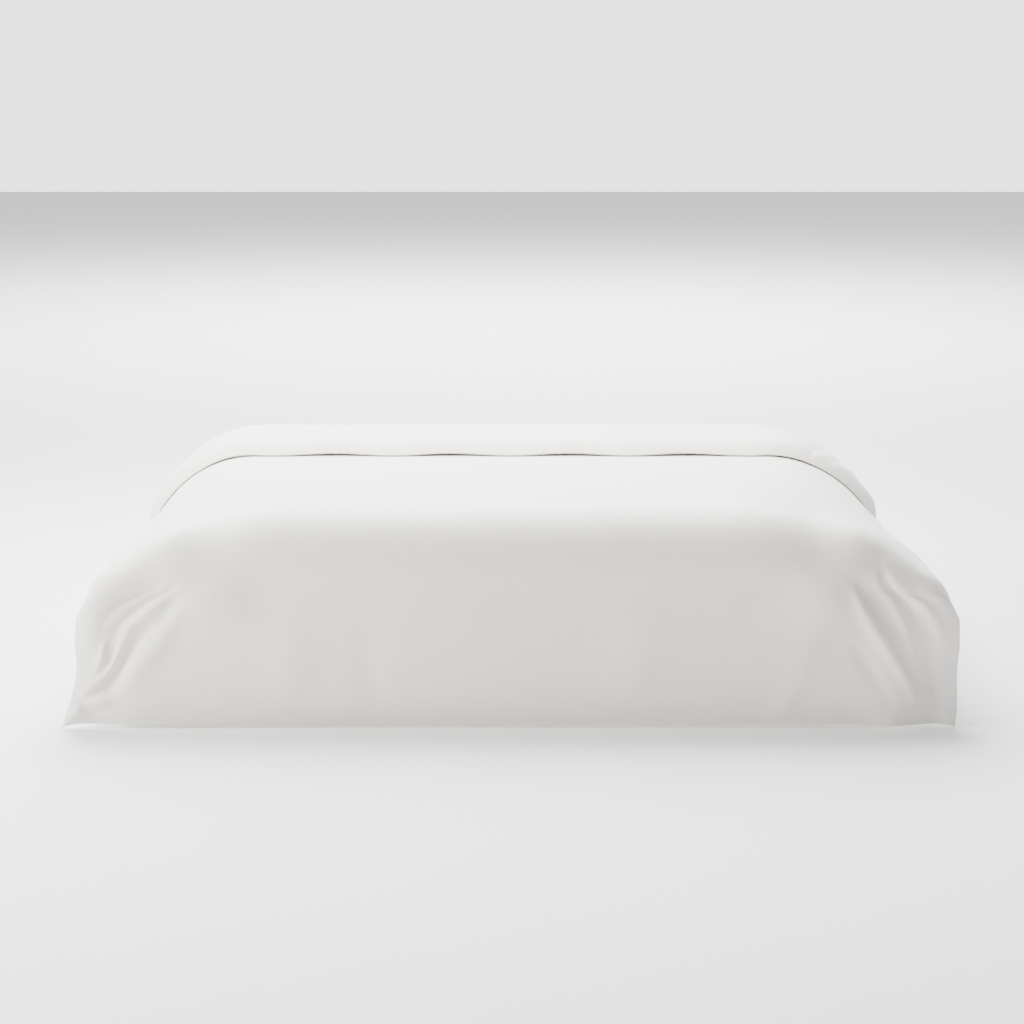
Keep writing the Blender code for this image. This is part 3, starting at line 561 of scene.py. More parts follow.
def slab(name, us, ws, upper, lower, low_edge=None, high_edge=None):
    u, w = np.meshgrid(us, ws)
    if low_edge is not None:
        w[0] = low_edge(u[0])
    if high_edge is not None:
        w[-1] = high_edge(u[-1])
    rows, columns = u.shape
    points = np.concatenate([place(u, w, upper(u, w)).reshape(-1, 3),
                             place(u, w, lower(u, w)).reshape(-1, 3)])
    uv = np.tile(np.stack([u, w], -1).reshape(-1, 2), (2, 1))
    under = rows * columns
    index = np.arange(under).reshape(rows, columns)
    a, b, c, d = index[:-1, :-1], index[:-1, 1:], index[1:, 1:], index[1:, :-1]
    top = np.stack([a, b, c, d], -1).reshape(-1, 4)
    bottom = top[:, ::-1] + under
    loop = np.concatenate([index[0, :-1], index[:-1, -1], index[-1, :0:-1], index[:0:-1, 0]])
    ahead = np.roll(loop, -1)
    rim = np.stack([loop, loop + under, ahead + under, ahead], -1)
    return mesh_of(name, points.tolist(), np.concatenate([top, bottom, rim]).tolist(), uv)

print(f"neighbouring layers are laid {1000 * SEAM_GAP:.1f} mm apart or more")

# %% [markdown]
# ## Materials
#
# Every finish is a small program of shader nodes.  Wiring them one by one takes many lines, so two
# helpers do it.  A `Flow` is a node's output that Python can add and multiply: each operator adds a
# Math node.  A `Finish` is a material whose `node` method adds any other node in one line.

# %% Shader helpers
class Flow:
    """A number that flows through the shader; a sum or product of two adds a Math node."""
    def __init__(self, finish, socket):
        self.finish, self.socket = finish, socket

    def calculate(self, operation, first, second=0.0):
        return self.finish.node("ShaderNodeMath", {"operation": operation}, {0: first, 1: second})

    def operator(operation):
        return lambda self, *other: self.calculate(operation, self, *other)

    __add__ = __radd__ = operator("ADD")
    __mul__ = __rmul__ = operator("MULTIPLY")
    __sub__, __truediv__ = operator("SUBTRACT"), operator("DIVIDE")
    sine, size, wrap = operator("SINE"), operator("ABSOLUTE"), operator("FRACT")


class Finish:
    """A material, built from one Principled shader."""
    def __init__(self, name, **constants):
        self.material = bpy.data.materials.new(name)
        self.material.use_nodes = True
        self.tree = self.material.node_tree
        self.shader = self.tree.nodes["Principled BSDF"]
        for socket, value in constants.items():
            self.shader.inputs[socket.replace("_", " ")].default_value = value

    def node(self, kind, settings=None, inputs=None, out=0):
        added = self.tree.nodes.new(kind)
        for key, value in (settings or {}).items():
            setattr(added, key, value)
        for key, value in (inputs or {}).items():
            self.feed(added.inputs[key], value)
        return Flow(self, added.outputs[out])

    def feed(self, socket, value):
        if isinstance(value, Flow):
            self.tree.links.new(value.socket, socket)
        else:
            socket.default_value = value

    def set(self, **inputs):
        for key, value in inputs.items():
            self.feed(self.shader.inputs[key.replace("_", " ")], value)

    def noise(self, where, scale, detail=2.0, stretch=(1, 1, 1)):
        moved = self.node("ShaderNodeMapping", None, {"Vector": where, "Scale": stretch})
        return self.node("ShaderNodeTexNoise", None, {"Vector": moved, "Scale": scale, "Detail": detail})

    def blend(self, share, first, second):
        """One colour at share 0 and the other at share 1."""
        return self.node("ShaderNodeMix", {"data_type": "RGBA"}, {0: share, 6: first, 7: second}, 2)

    def parts_of(self, where):
        """The three numbers of a vector."""
        split = self.node("ShaderNodeSeparateXYZ", None, {0: where})
        return [Flow(self, out) for out in split.socket.node.outputs]

    def bump(self, height, distance, strength=1.0):
        self.set(Normal=self.node("ShaderNodeBump", None,
                                  {"Height": height, "Distance": distance, "Strength": strength}))

    def where(self):
        """The place on the object, in metres."""
        return self.node("ShaderNodeTexCoord", None, None, "Object")

print("materials before this lesson's own:", len(bpy.data.materials))

# %% [markdown]
# Sateen is cotton woven so that long threads float on its face, which gives it a soft shine.  The
# pattern follows the cloth: it reads the UV map, which is the flat cut in metres.  Three things are
# put together: the thread grid, uneven thicker threads across it, and the slight puckers of washed
# cotton.  Each only tilts the surface a little, because the real cloth is smooth.

# %% Sateen
THREAD = 2 * math.pi / 0.0009      # radians a metre for threads 0.9 mm apart

def cloth_place(finish):
    return finish.node("ShaderNodeUVMap", {"uv_map": "cloth"})

def make_sateen():
    sateen = Finish("cotton_sateen", Sheen_Weight=0.22, Sheen_Roughness=0.45, Specular_IOR_Level=0.28)
    where = cloth_place(sateen)
    across, along, _ = sateen.parts_of(where)
    slubs = sateen.noise(where, 1.0, 3.0, stretch=(55, 900, 1))
    puckers = sateen.noise(where, 26.0, 3.0)
    drift = sateen.noise(where, 2.2, 2.0)
    threads = (across * THREAD).sine() * (along * THREAD * 0.5).sine()
    sateen.bump(threads * 0.05 + slubs * 0.30 + puckers * 1.5, 0.0009)
    tone = drift * 0.7 + slubs * 0.3
    sateen.set(Base_Color=sateen.blend(tone, (0.785, 0.757, 0.715, 1), (0.840, 0.815, 0.778, 1)),
               Roughness=0.50 + slubs * 0.16)
    return sateen.material

sateen = make_sateen()
print(sateen.name, "has", len(sateen.node_tree.nodes), "nodes")

# %% [markdown]
# The insert's shell is downproof cotton: a plain weave so dense that no quill gets through, rather
# papery, with many fine creases, and its colour has painted shade in their hollows.  The down itself
# is only ever seen as a matt, clumpy white mass, with painted shade in the gaps between its clumps.

# %% Downproof cotton and down
def make_downproof():
    cotton = Finish("downproof_cotton", Sheen_Weight=0.08, Specular_IOR_Level=0.22)
    where = cloth_place(cotton)
    across, along, _ = cotton.parts_of(where)
    creases = cotton.noise(where, 70.0, 4.0)
    weave = (across * THREAD).sine() * (along * THREAD).sine()
    cotton.bump(weave * 0.10 + creases * 1.2, 0.0008)
    # Painted shade: the colour follows the creases, darker in their hollows.
    cotton.set(Base_Color=cotton.blend(creases, (0.82, 0.81, 0.78, 1), (0.90, 0.89, 0.865, 1)),
               Roughness=0.66 + creases * 0.14)
    return cotton.material

def make_down():
    down = Finish("down_clusters", Sheen_Weight=0.5, Sheen_Roughness=0.8, Specular_IOR_Level=0.1)
    where = down.where()
    clumps = down.node("ShaderNodeTexVoronoi", None, {"Vector": where, "Scale": 70.0})
    barbs = down.noise(where, 420.0, 5.0)
    down.bump(barbs * 0.7 - clumps * 1.2, 0.004)
    # Painted shade: the colour darkens where the clump pattern sinks, in the gaps between clumps.
    down.set(Base_Color=down.blend(clumps + barbs * 0.3, (0.93, 0.92, 0.89, 1), (0.80, 0.78, 0.74, 1)),
             Roughness=0.88 + barbs * 0.1)
    return down.material

downproof, down_fill = make_downproof(), make_down()
print(downproof.name, "and", down_fill.name)

# %% [markdown]
# Tapes are woven in herringbone: the ribs lean one way in one stripe and the other way in the next.
# Folding the sideways coordinate with an absolute value makes the two leanings from one rib.

# %% Tape, thread, label, nylon and metal
def make_tape():
    tape = Finish("herringbone_tape", Sheen_Weight=0.1, Specular_IOR_Level=0.25)
    where = tape.where()
    x, y, z = tape.parts_of(where)
    zigzag = ((z + y * 0.5) / 0.006).wrap() - 0.5
    rib = (x * 5200 + zigzag.size() * 26).sine()
    fuzz = tape.noise(where, 900.0, 3.0)
    tape.bump(rib * 0.5 + fuzz * 0.6, 0.0002)
    # Partly painted shade: the colour is darker in the rib grooves, and the fuzz, which also gives the
    # relief, varies the tone at random.
    tone = rib * 0.25 + fuzz * 0.6
    tape.set(Base_Color=tape.blend(tone, (0.74, 0.73, 0.70, 1), (0.86, 0.85, 0.82, 1)),
             Roughness=0.74 + fuzz * 0.12)
    return tape.material

def make_cloudy(finish, scale, depth, dark, light, roughness, spread):
    """One noise for the colour, the roughness and the relief."""
    cloudy = finish.noise(finish.where(), scale, 2.0)
    finish.bump(cloudy, depth)
    finish.set(Base_Color=finish.blend(cloudy, dark, light), Roughness=roughness + cloudy * spread)
    return finish.material

def make_label_satin():
    satin = Finish("label_satin", Sheen_Weight=0.2, Specular_IOR_Level=0.4)
    where = satin.where()
    ribs = (satin.parts_of(where)[2] * 9000).sine()
    folds = satin.noise(where, 60.0, 2.0)
    satin.bump(ribs * 0.2 + folds * 1.5, 0.0003)
    # Painted shade: the colour follows the folds and ribs, darker in their hollows.
    tone = folds * 0.8 + ribs * 0.1
    satin.set(Base_Color=satin.blend(tone, (0.82, 0.81, 0.79, 1), (0.91, 0.90, 0.885, 1)),
              Roughness=0.34 + folds * 0.2)
    return satin.material

def make_plated():
    plated = Finish("nickel_plate", Metallic=1.0)
    where = plated.where()
    brushing = plated.noise(where, 1.0, 3.0, stretch=(300, 6000, 6000))
    handling = plated.noise(where, 250.0, 3.0)
    plated.bump(brushing, 0.00003)
    plated.set(Base_Color=plated.blend(handling, (0.60, 0.595, 0.58, 1), (0.74, 0.735, 0.72, 1)),
               Roughness=0.20 + brushing * 0.14 + handling * 0.12)
    return plated.material

tape = make_tape()
thread = make_cloudy(Finish("sewing_thread", Sheen_Weight=0.1), 2500.0, 0.0001,
                     (0.80, 0.79, 0.765, 1), (0.88, 0.872, 0.85, 1), 0.5, 0.2)
label_satin = make_label_satin()
nylon = make_cloudy(Finish("coil_nylon", Coat_Weight=0.1), 600.0, 0.00005,
                    (0.78, 0.77, 0.745, 1), (0.87, 0.86, 0.84, 1), 0.30, 0.15)
plated = make_plated()
print("finishes:", len(bpy.data.materials))

# %% [markdown]
# ## The layers
#
# All layers share one set of grid lines, closer together over the wings where the small folds are.
# Neighbouring layers then bend at the same places and can't cut through each other, though less
# than half a millimetre parts them.

# %% Grid lines and a slab's finish
EDGE_STEPS = [0.0, 0.002, 0.005, 0.008, 0.011, 0.014, 0.019, 0.026]

def spaced(low, high, step):
    return np.linspace(low, high, max(1, round((high - low) / step)) + 1)

half_lines = np.concatenate([
    spaced(0.0, 0.78, 0.0156), spaced(0.78, HALF_WIDTH - EDGE_STEPS[-1], 0.0058),
    [HALF_WIDTH - d for d in EDGE_STEPS]])
ALL_U = np.unique(np.concatenate([half_lines, -half_lines]).round(6))
ALL_W = np.unique(np.concatenate([
    EDGE_STEPS, spaced(EDGE_STEPS[-1], 0.42, 0.0062), spaced(0.42, 0.68, 0.0087),
    spaced(0.68, FOLD_W, 0.0150), spaced(FOLD_W, CUFF_W, 0.0050),
    spaced(CUFF_W, LENGTH - EDGE_STEPS[-1], 0.0090), [LENGTH - d for d in EDGE_STEPS]]).round(6))

def between(lines, low, high):
    """The shared lines from low to high, with a line at each end."""
    inner = lines[(lines > low + 0.0006) & (lines < high - 0.0006)]
    return np.concatenate([[low], inner, [high]])

def attach(piece, slot, *nodes):
    """Fixes a piece to the duvet, and hides the frame nodes it stands for."""
    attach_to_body(piece, "duvet")
    if nodes:
        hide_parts(*nodes)

def dress(piece, slot, material, *nodes):
    piece.data.materials.append(material)
    attach(piece, slot, *nodes)
    return piece

print("grid:", len(ALL_U), "x", len(ALL_W), "lines")

# %% [markdown]
# The cover is a bag of three pieces: the face, the back, and a narrow strip along the foot hem that
# ends at the zip.  The back shows only on the cuff, where the head edge is turned over.

# %% The cover
ZIP_HALF_LENGTH, STOP_LENGTH, FIT = 0.842, 0.0022, 0.0003
SLOT_END, SLOT_RAMP = ZIP_HALF_LENGTH + FIT + STOP_LENGTH + 0.003, 0.010

def beside_zip(side):
    """A panel's edge at the zip: open along the slot, sewn shut beyond its ends."""
    def edge(u):
        return ZIP_ABOVE_HEM + side * np.interp(np.abs(u), [SLOT_END, SLOT_END + SLOT_RAMP],
                                                [SLOT_HALF, SEAM_GAP / 2])
    return edge

def under_face(u, w):
    return cover_half(u, w) - PANEL

def inside_back(u, w):
    return PANEL - cover_half(u, w)

def outside_back(u, w):
    return -cover_half(u, w)

slot_ends = [side * x for side in (-1, 1) for x in (SLOT_END, SLOT_END + SLOT_RAMP)]
slot_lines = np.unique(np.concatenate([ALL_U, slot_ends]))
top_panel = slab("top_panel", ALL_U, ALL_W, cover_half, under_face)
back_panel = slab("back_panel", slot_lines, between(ALL_W, ZIP_ABOVE_HEM + SLOT_HALF, LENGTH),
                  inside_back, outside_back, low_edge=beside_zip(1))
hem_facing = slab("hem_facing", slot_lines, between(ALL_W, 0.0, ZIP_ABOVE_HEM - SLOT_HALF),
                  inside_back, outside_back, high_edge=beside_zip(-1))
dress(top_panel, "sateen", sateen, "cover_top_panel")
dress(back_panel, "sateen", sateen, "cover_back_panel")
dress(hem_facing, "sateen", sateen, "cover_hem_facing")
print("cover:", [(p.name, len(p.data.polygons)) for p in (top_panel, back_panel, hem_facing)])

# %% [markdown]
# The insert is a second, smaller bag of downproof cotton.  Five cotton walls run from its foot to
# its head and keep the down in six channels, and a folded tape binds its edge.

# %% The insert
reach_u = HALF_WIDTH - INSERT_EDGE
insert_us = between(ALL_U, -reach_u, reach_u)
insert_ws = between(ALL_W, INSERT_EDGE, LENGTH - INSERT_EDGE)
top_shell = slab("top_shell", insert_us, insert_ws, insert_half, lambda u, w: insert_half(u, w) - SHELL)
back_shell = slab("back_shell", insert_us, insert_ws,
                  lambda u, w: SHELL - insert_back_half(u, w), lambda u, w: -insert_back_half(u, w))
dress(top_shell, "downproof", downproof, "insert_top_shell")
dress(back_shell, "downproof", downproof, "insert_back_shell")

def fill_top(u, w):
    return insert_half(u, w) - SHELL - GAP

def fill_back(u, w):
    return SHELL + GAP - insert_back_half(u, w)

walls = [CHANNEL_PITCH * k for k in range(1 - CHANNELS_PER_SIDE, CHANNELS_PER_SIDE)]
room = BAFFLE / 2 + GAP
left_sides = [-reach_u] + [x + room for x in walls]
right_sides = [x - room for x in walls] + [reach_u]
for number, (left, right) in enumerate(zip(left_sides, right_sides), start=1):
    filling = slab(f"down_{number}", between(ALL_U, left, right), insert_ws, fill_top, fill_back)
    dress(filling, "down", down_fill, f"down_channel_{number}")
for number, x in enumerate(walls, start=1):
    wall_us = np.array([x - BAFFLE / 2, x + BAFFLE / 2])
    wall = slab(f"wall_{number}", wall_us, insert_ws, fill_top, fill_back)
    dress(wall, "downproof", downproof, f"baffle_wall_{number}")
print("insert:", len(walls), "walls,", len(left_sides), "channels")

# %% [markdown]
# The binding is a folded tape round the insert's edge.  It is swept as a closed frame: the same
# path round the cloth at two distances from the edge, on two sides.

# %% The insert's binding
def rim_path(inset):
    """Places round the cloth at one distance from its edge."""
    low_u, low_w = inset - HALF_WIDTH, inset
    us, ws = insert_us.copy(), insert_ws.copy()
    us[0], us[-1], ws[0], ws[-1] = low_u, -low_u, low_w, LENGTH - low_w
    path = [(u, ws[0]) for u in us[:-1]] + [(us[-1], w) for w in ws[:-1]]
    path += [(u, ws[-1]) for u in us[:0:-1]] + [(us[0], w) for w in ws[:0:-1]]
    return np.array(path)

def make_binding():
    profile = [(INSERT_MARGIN, 0.4), (INSERT_MARGIN + 0.0008, 0.8), (INSERT_MARGIN + 0.0022, 1.0),
               (INSERT_MARGIN + BINDING_WIDTH, 1.0)]
    profile += [(inset, -share) for inset, share in reversed(profile)]
    loops = []
    for inset, share in profile:
        path = rim_path(inset)
        loops.append(place(path[:, 0], path[:, 1], share * BINDING_HALF))
    count, turns = len(loops[0]), len(loops)
    faces = [(a * count + k, b * count + k, b * count + (k + 1) % count, a * count + (k + 1) % count)
             for a, b in zip(range(turns), [*range(1, turns), 0]) for k in range(count)]
    return mesh_of("edge_binding", np.concatenate(loops).tolist(), faces)

binding = dress(make_binding(), "tape", tape, "insert_edge_binding")
print("binding:", len(binding.data.polygons), "faces")

# %% [markdown]
# ## Rows of small things
#
# Stitches and zip teeth are one small shape repeated along a path.  That is what Geometry Nodes are
# good at: one tree sets points along the path at an even spacing, puts the shape on each, turned
# along the path, and makes a plain mesh of it all.  Seeds are fixed, so it never changes.

# %% A tree that sets a shape along a path
ROW_INPUTS = {"Path": "Geometry", "Shape": "Object", "Spacing": "Float", "Unevenness": "Float",
              "Finish": "Material"}
ROW_NODES = {"given": "NodeGroupInput", "curve": "GeometryNodeMeshToCurve",
             "points": "GeometryNodeCurveToPoints", "turn": "FunctionNodeAlignRotationToVector",
             "low": "ShaderNodeMath", "high": "ShaderNodeMath", "size": "FunctionNodeRandomValue",
             "shape": "GeometryNodeObjectInfo", "copies": "GeometryNodeInstanceOnPoints",
             "real": "GeometryNodeRealizeInstances", "finish": "GeometryNodeSetMaterial",
             "result": "NodeGroupOutput"}
ROW_LINKS = [
    ("given", "Path", "curve", "Mesh"), ("curve", "Curve", "points", "Curve"),
    ("given", "Spacing", "points", "Length"), ("points", "Tangent", "turn", "Vector"),
    ("given", "Unevenness", "low", 1), ("given", "Unevenness", "high", 1),
    ("low", 0, "size", 2), ("high", 0, "size", 3),
    ("given", "Shape", "shape", "Object"), ("points", "Points", "copies", "Points"),
    ("shape", "Geometry", "copies", "Instance"), ("turn", "Rotation", "copies", "Rotation"),
    ("size", 1, "copies", "Scale"), ("copies", "Instances", "real", "Geometry"),
    ("real", "Geometry", "finish", "Geometry"), ("given", "Finish", "finish", "Material"),
    ("finish", "Geometry", "result", "Row")]

def make_row_tree():
    tree = bpy.data.node_groups.new("row_of_shapes", "GeometryNodeTree")
    for name, kind in ROW_INPUTS.items():
        tree.interface.new_socket(name, in_out="INPUT", socket_type="NodeSocket" + kind)
    tree.interface.new_socket("Row", in_out="OUTPUT", socket_type="NodeSocketGeometry")
    node = {name: tree.nodes.new(kind) for name, kind in ROW_NODES.items()}
    node["points"].mode, node["turn"].axis, node["size"].data_type = "LENGTH", "X", "FLOAT"
    node["size"].inputs["Seed"].default_value = 7
    for name, operation in (("low", "SUBTRACT"), ("high", "ADD")):
        node[name].operation = operation
        node[name].inputs[0].default_value = 1.0
    for source, output, target, socket in ROW_LINKS:
        tree.links.new(node[source].outputs[output], node[target].inputs[socket])
    return tree

row_tree = make_row_tree()

def row(name, paths, shape, spacing, finish, unevenness=0.0):
    """The shape set along each path, as one plain mesh."""
    points = np.concatenate(paths)
    edges, first = [], 0
    for path in paths:
        edges += [(first + k, first + k + 1) for k in range(len(path) - 1)]
        first += len(path)
    guide_mesh = bpy.data.meshes.new(name + "_guide")
    guide_mesh.from_pydata(points.tolist(), edges, [])
    guide = show(name + "_guide", guide_mesh)
    modifier = guide.modifiers.new("row", "NODES")
    modifier.node_group = row_tree
    given = {"Shape": shape, "Spacing": spacing, "Unevenness": unevenness, "Finish": finish}
    for socket in row_tree.interface.items_tree:
        if socket.name in given:
            modifier[socket.identifier] = given[socket.name]
    bpy.context.view_layer.update()
    mesh = finished_mesh(guide)
    bpy.data.objects.remove(guide)
    print(name, len(mesh.polygons), "faces")
    return show(name, mesh)

# %% [markdown]
# A stitch is a short bead of thread that sinks into the cloth at both ends.  It has 24 faces,
# because there are thousands of them.

# %% One stitch, and the rows of the quilting
def make_stitch(length, thickness):
    bm = bmesh.new()
    bmesh.ops.create_uvsphere(bm, u_segments=6, v_segments=4, radius=0.5)
    for v in bm.verts:
        v.co = Vector((v.co.z * length, v.co.x * thickness, v.co.y * thickness))
    bmesh.ops.recalc_face_normals(bm, faces=bm.faces)
    return bpy.data.objects.new("stitch", plain_mesh("stitch", bm))

FINE_SPACING, BOLD_SPACING, THREAD_RISE = 0.0042, 0.0068, 0.0001
fine_stitch, bold_stitch = make_stitch(0.0028, 0.0005), make_stitch(0.0046, 0.0009)
run_w = spaced(INSERT_EDGE + 0.004, LENGTH - INSERT_EDGE - 0.004, 0.008)
quilting = [place(x, run_w, side * (insert_half(x, run_w) + THREAD_RISE))
            for x in walls for side in (-1, 1)]
quilting_rows = row("quilting_stitches", quilting, bold_stitch, BOLD_SPACING, thread, 0.08)
attach(quilting_rows, "tape")

# %% [markdown]
# ## The zip
#
# A coil zip is two tapes, each with a bent nylon thread sewn along it, whose turns catch in those
# of the other half.  It is sewn between the back panel and the strip at the foot hem, on the side
# that nobody sees.  The tapes, stops, slider and pull tab come from the frame and only get their
# finish.  The coil halves are made here, turn by turn.

# %% One turn of the coil
coil_low, coil_high = (Vector(c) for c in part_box("zip_coil_upper"))
COIL_PITCH, WIRE = 0.0024, 0.00034

def make_turn(side):
    """A turn of nylon thread: a flat loop from the tape to the head that grips, and back."""
    depth, height = (coil_high.y - coil_low.y) / 2 - WIRE, (coil_high.z - coil_low.z) / 2 - WIRE
    bm = bmesh.new()
    rings, steps, sides = [], 10, 5
    for k in range(steps):
        turn = 2 * math.pi * k / steps
        swing = Vector((0.0, math.cos(turn), math.sin(turn)))
        centre = Vector((0.12 * COIL_PITCH * math.sin(turn), depth * swing.y, height * swing.z * side))
        head = 1.0 + 0.35 * max(0.0, -swing.z) ** 2
        out = Vector((0.0, swing.y, swing.z * side))
        angles = [2 * math.pi * m / sides for m in range(sides)]
        rim = [math.cos(a) * out + math.sin(a) * Vector((1, 0, 0)) for a in angles]
        rings.append([bm.verts.new(centre + WIRE * head * spoke) for spoke in rim])
    for k in range(steps):
        here, ahead = rings[k], rings[(k + 1) % steps]
        for m in range(sides):
            bm.faces.new((here[m], here[(m + 1) % sides], ahead[(m + 1) % sides], ahead[m]))
    bmesh.ops.recalc_face_normals(bm, faces=bm.faces)
    mesh = plain_mesh("coil_turn", bm)
    mesh.shade_smooth()
    return bpy.data.objects.new("coil_turn", mesh)

print(f"coil: {COIL_PITCH * 1000:.1f} mm a turn, wire {2000 * WIRE:.2f} mm thick")

# %% Both halves of the coil
for half, side in (("upper", 1), ("lower", -1)):
    low, high = (Vector(c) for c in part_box(f"zip_coil_{half}"))
    centre_y, centre_z = (low.y + high.y) / 2, (low.z + high.z) / 2
    shift = 0.0 if side > 0 else COIL_PITCH / 2
    line = np.array([(low.x + COIL_PITCH / 2 + shift, centre_y, centre_z),
                     (high.x - COIL_PITCH / 2, centre_y, centre_z)])
    coil = row(f"coil_{half}", [line], make_turn(side), COIL_PITCH, nylon)
    coil.data.shade_smooth()
    attach(coil, "nylon", f"zip_coil_{half}")

# %% [markdown]
# A frame node whose shape is right keeps it and only gets a better finish.

# %% Finishes of the frame's own pieces
FINISHES = {"tape": tape, "metal": plated, "label": label_satin}
slot_of = {part["node"]: part["material_slot"] for part in frame["record"]["subparts"]}
KEPT = ["zip_tape_upper", "zip_tape_lower", "zip_stop_closed_end", "zip_stop_open_end",
        "zip_slider", "zip_pull_tab", "care_label"]
for name in KEPT:
    for slot in frame["nodes"][name].material_slots:
        slot.material = FINISHES[slot_of[name]]
print("kept from the frame:", len(KEPT))

# %% [markdown]
# The stitches that hold the zip run along both sides of the opening, and the care label is sewn
# down along its two short ends.  A stitch row runs 10 mm inside the cover's edge, on its face and
# on its back, where the seam is turned and topstitched.

# %% Stitches of the zip, of the label and of the cover's edge
zip_run = spaced(-ZIP_HALF_LENGTH + 0.004, ZIP_HALF_LENGTH - 0.004, 0.02)
zip_rows = [place(zip_run, ZIP_ABOVE_HEM + side * (SLOT_HALF + 0.0022),
                  -cover_half(zip_run, ZIP_ABOVE_HEM + side * SLOT_HALF) - THREAD_RISE)
            for side in (-1, 1)]
label_low, label_high = (np.array(c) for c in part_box("care_label"))
label_rows = [np.array([(x, label_high[1], z) for x in (label_low[0] + 0.003, label_high[0] - 0.003)])
              for z in (label_low[2] + 0.003, label_high[2] - 0.003)]
zip_stitches = row("zip_stitches", zip_rows + label_rows, fine_stitch, FINE_SPACING, thread, 0.05)
attach(zip_stitches, "tape")

SEAM_INSET = 0.010

def edge_runs(face):
    """Four runs round the cover at the seam's inset: head, left, right, foot."""
    us = spaced(SEAM_INSET - HALF_WIDTH, HALF_WIDTH - SEAM_INSET, 0.006)
    ws = spaced(SEAM_INSET, LENGTH - SEAM_INSET, 0.006)
    side_u = np.full_like(ws, HALF_WIDTH - SEAM_INSET)
    runs = [(us, np.full_like(us, LENGTH - SEAM_INSET)), (-side_u, ws), (side_u, ws),
            (us, np.full_like(us, SEAM_INSET))]
    return [place(u, w, face * (cover_half(u, w) + THREAD_RISE)) for u, w in runs]

for name, face in (("face", 1), ("back", -1)):
    stitches = row(f"edge_stitches_{name}", edge_runs(face), fine_stitch, FINE_SPACING, thread, 0.05)
    attach(stitches, "tape")

# %% [markdown]
# Each corner of the insert has a tape loop, and a tie from the cover's corner seam passes through
# it.  Both are flat tape bent into an oblong.

# %% Corner loops and ties
LOOP_LENGTH, LOOP_HEIGHT, LOOP_RIBBON, LOOP_OVERLAP = 0.018, 0.0062, 0.006, 0.006
TIE_WIDTH, TIE_RIBBON, TAPE = 0.014, 0.0024, 0.0010

def squared(swing):
    """A sine or cosine with flat tops, which turns a circle into a rounded oblong."""
    return np.copysign(np.minimum(1, 1.25 * np.abs(swing)), swing)

def tape_ring(name, centre, axes, length, width, depth):
    """A flat loop: a rounded oblong in the first two axes, depth along the third."""
    steps, loops = 28, []
    for inset in (0.0, TAPE):
        half_length, half_width = length / 2 - inset, width / 2 - inset
        for share in (-0.5, -0.3, 0.3, 0.5):
            thin = 0.0 if abs(share) < 0.4 else TAPE * (0.22 if inset == 0.0 else -0.22)
            turn = 2 * math.pi * (np.arange(steps) + 0.5) / steps
            a = (half_length - thin) * squared(np.cos(turn))
            b = (half_width - thin) * squared(np.sin(turn))
            loops.append(centre + a[:, None] * axes[0] + b[:, None] * axes[1]
                         + share * depth * axes[2])
    order = [0, 1, 2, 3, 7, 6, 5, 4]
    faces = [(p * steps + k, q * steps + k, q * steps + (k + 1) % steps, p * steps + (k + 1) % steps)
             for p, q in zip(order, order[1:] + order[:1]) for k in range(steps)]
    made = mesh_of(name, np.concatenate(loops).tolist(), faces)
    bm = bmesh.new()
    bm.from_mesh(made.data)
    bmesh.ops.recalc_face_normals(bm, faces=bm.faces)
    bm.to_mesh(made.data)
    bm.free()
    made.data.set_sharp_from_angle(angle=math.radians(50))
    return made

def corner_point(side, head, inset, offset=0.0):
    return place(side * (HALF_WIDTH - inset), LENGTH - inset if head else inset, offset)

def make_corner(side, head):
    room_for_tie = TIE_RIBBON / 2 + PANEL + FIT
    insets = np.linspace(0, EDGE_TAPER, 60)
    seat = np.interp(room_for_tie, quarter_sine(insets, EDGE_TAPER, EDGE_HALF, HALF_LOFT), insets)
    seat += TIE_WIDTH / math.sqrt(8)
    start, end = corner_point(side, head, INSERT_MARGIN), corner_point(side, head, seat)
    reach = np.linalg.norm(end - start)
    along = (end - start) / reach
    normal = corner_point(side, head, INSERT_MARGIN, 0.001) - start
    across = np.cross(normal, along)
    across /= np.linalg.norm(across)
    up = np.cross(along, across)
    corner = ("head" if head else "foot") + ("_right" if side > 0 else "_left")
    loop = tape_ring(f"loop_{corner}", start + along * (FIT + LOOP_LENGTH / 2), (along, up, across),
                     LOOP_LENGTH, LOOP_HEIGHT, LOOP_RIBBON)
    tie_length = reach - FIT - LOOP_LENGTH + LOOP_OVERLAP
    tie = tape_ring(f"tie_{corner}", end - along * (tie_length / 2), (along, across, up),
                    tie_length, TIE_WIDTH, TIE_RIBBON)
    dress(loop, "tape", tape, f"insert_loop_{corner}")
    dress(tie, "tape", tape, f"cover_tie_{corner}")
    return tie_length

lengths = [make_corner(side, head) for side in (-1, 1) for head in (False, True)]
print("ties:", [round(x, 4) for x in lengths])

# %% [markdown]
# ## Floor and light
#
# A white duvet on a white ground is all about soft shadows.  One large lamp stands to the left, a
# little in front of the foot drop, and a second one hangs over the bed, so the top is brightest and
# the foot drop falls gently into shade.  A third lights the floor far behind, and the pale
# surroundings fill the rest.

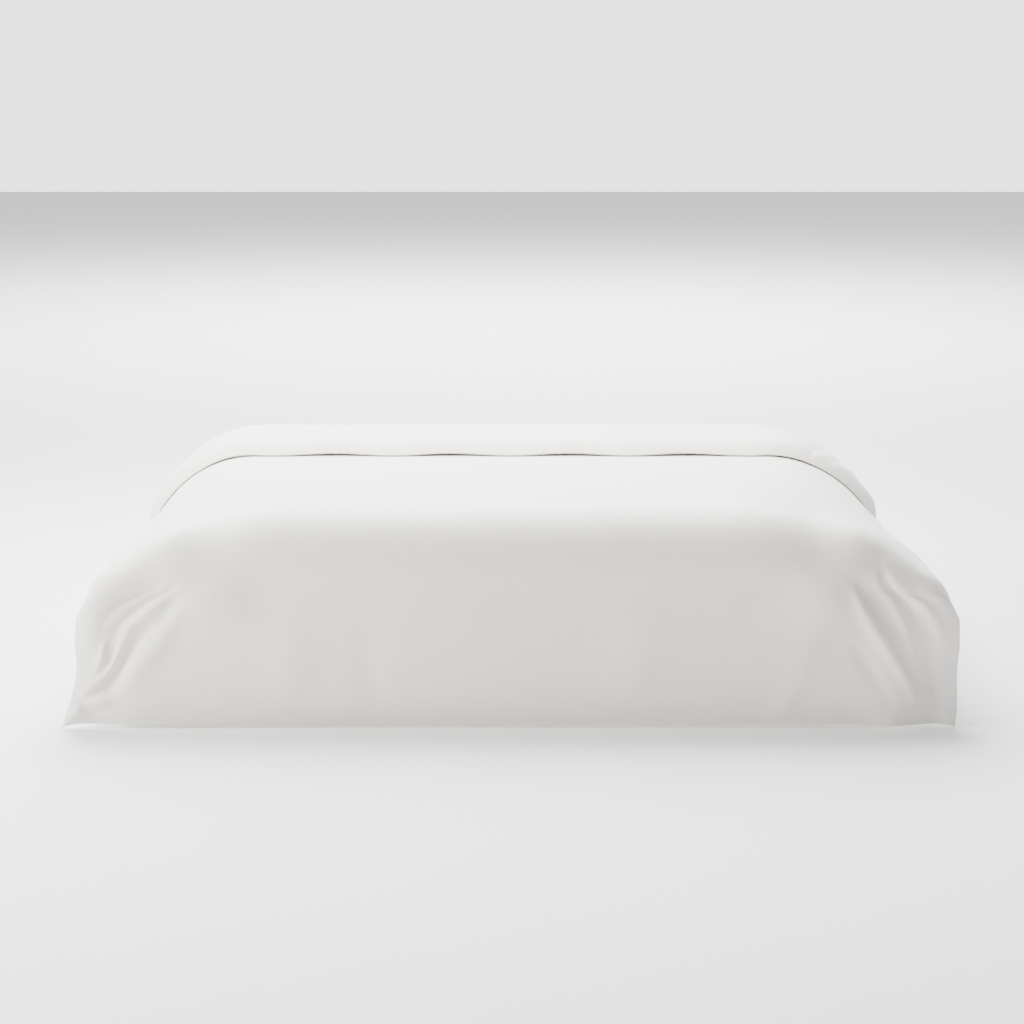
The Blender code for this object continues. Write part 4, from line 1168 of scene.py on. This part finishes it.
# %% Stage
FLOOR_REACH = 30
FLOOR_CORNERS = [(-FLOOR_REACH, -FLOOR_REACH), (FLOOR_REACH, -FLOOR_REACH),
                 (FLOOR_REACH, FLOOR_REACH), (-FLOOR_REACH, FLOOR_REACH)]
floor_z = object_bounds()[0][2] - 0.0015
floor_mesh = bpy.data.meshes.new("floor")
floor_mesh.from_pydata([(x, y, floor_z) for x, y in FLOOR_CORNERS], [], [(0, 1, 2, 3)])
floor = show("floor", floor_mesh)
floor_paint = Finish("pale_floor", Roughness=0.9, Specular_IOR_Level=0.1)
speckle = floor_paint.noise(floor_paint.where(), 40.0, 2.0)
floor_paint.set(Base_Color=floor_paint.blend(speckle, (0.79, 0.79, 0.785, 1), (0.82, 0.82, 0.815, 1)))
floor_mesh.materials.append(floor_paint.material)

ROOM_FRONT, ROOM_BACK, KEY_LIGHT, TOP_LIGHT, FAR_LIGHT = 0.42, 2.9, 520, 600, 2600

def make_room():
    """Soft light from all round, brighter from beyond the bed's head."""
    world = bpy.data.worlds.new("pale_room")
    world.use_nodes = True
    nodes, links = world.node_tree.nodes, world.node_tree.links
    where, split = nodes.new("ShaderNodeTexCoord"), nodes.new("ShaderNodeSeparateXYZ")
    strength = nodes.new("ShaderNodeMapRange")
    strength.interpolation_type = "SMOOTHSTEP"
    reach = {"From Min": -0.2, "From Max": 0.9, "To Min": ROOM_FRONT, "To Max": ROOM_BACK}
    for socket, value in reach.items():
        strength.inputs[socket].default_value = value
    links.new(where.outputs["Generated"], split.inputs[0])
    links.new(split.outputs["Y"], strength.inputs["Value"])
    links.new(strength.outputs[0], nodes["Background"].inputs["Strength"])
    nodes["Background"].inputs["Color"].default_value = (1.0, 1.0, 1.0, 1)
    bpy.context.scene.world = world

make_room()

def soft_lamp(name, place_at, aim, size, power, tint):
    lamp = show(name, bpy.data.lights.new(name, "AREA"))
    lamp.data.shape, lamp.data.size = "SQUARE", size
    lamp.data.energy, lamp.data.color = power, tint
    lamp.location = place_at
    lamp.rotation_euler = (Vector(aim) - Vector(place_at)).to_track_quat("-Z", "Y").to_euler()

soft_lamp("window", (-4.4, -1.9, 1.7), (0, -0.6, -0.2), 2.0, KEY_LIGHT, (1.0, 0.99, 0.975))
soft_lamp("ceiling", (-0.5, 1.3, 2.9), (0, 0.1, 0), 2.6, TOP_LIGHT, (1.0, 1.0, 1.0))
soft_lamp("far floor", (0.0, 9.0, 5.0), (0, 9.5, 0), 7.0, FAR_LIGHT, (1.0, 1.0, 1.0))
print(f"floor at {floor_z:.3f} m, {len(bpy.data.lights)} lamps")
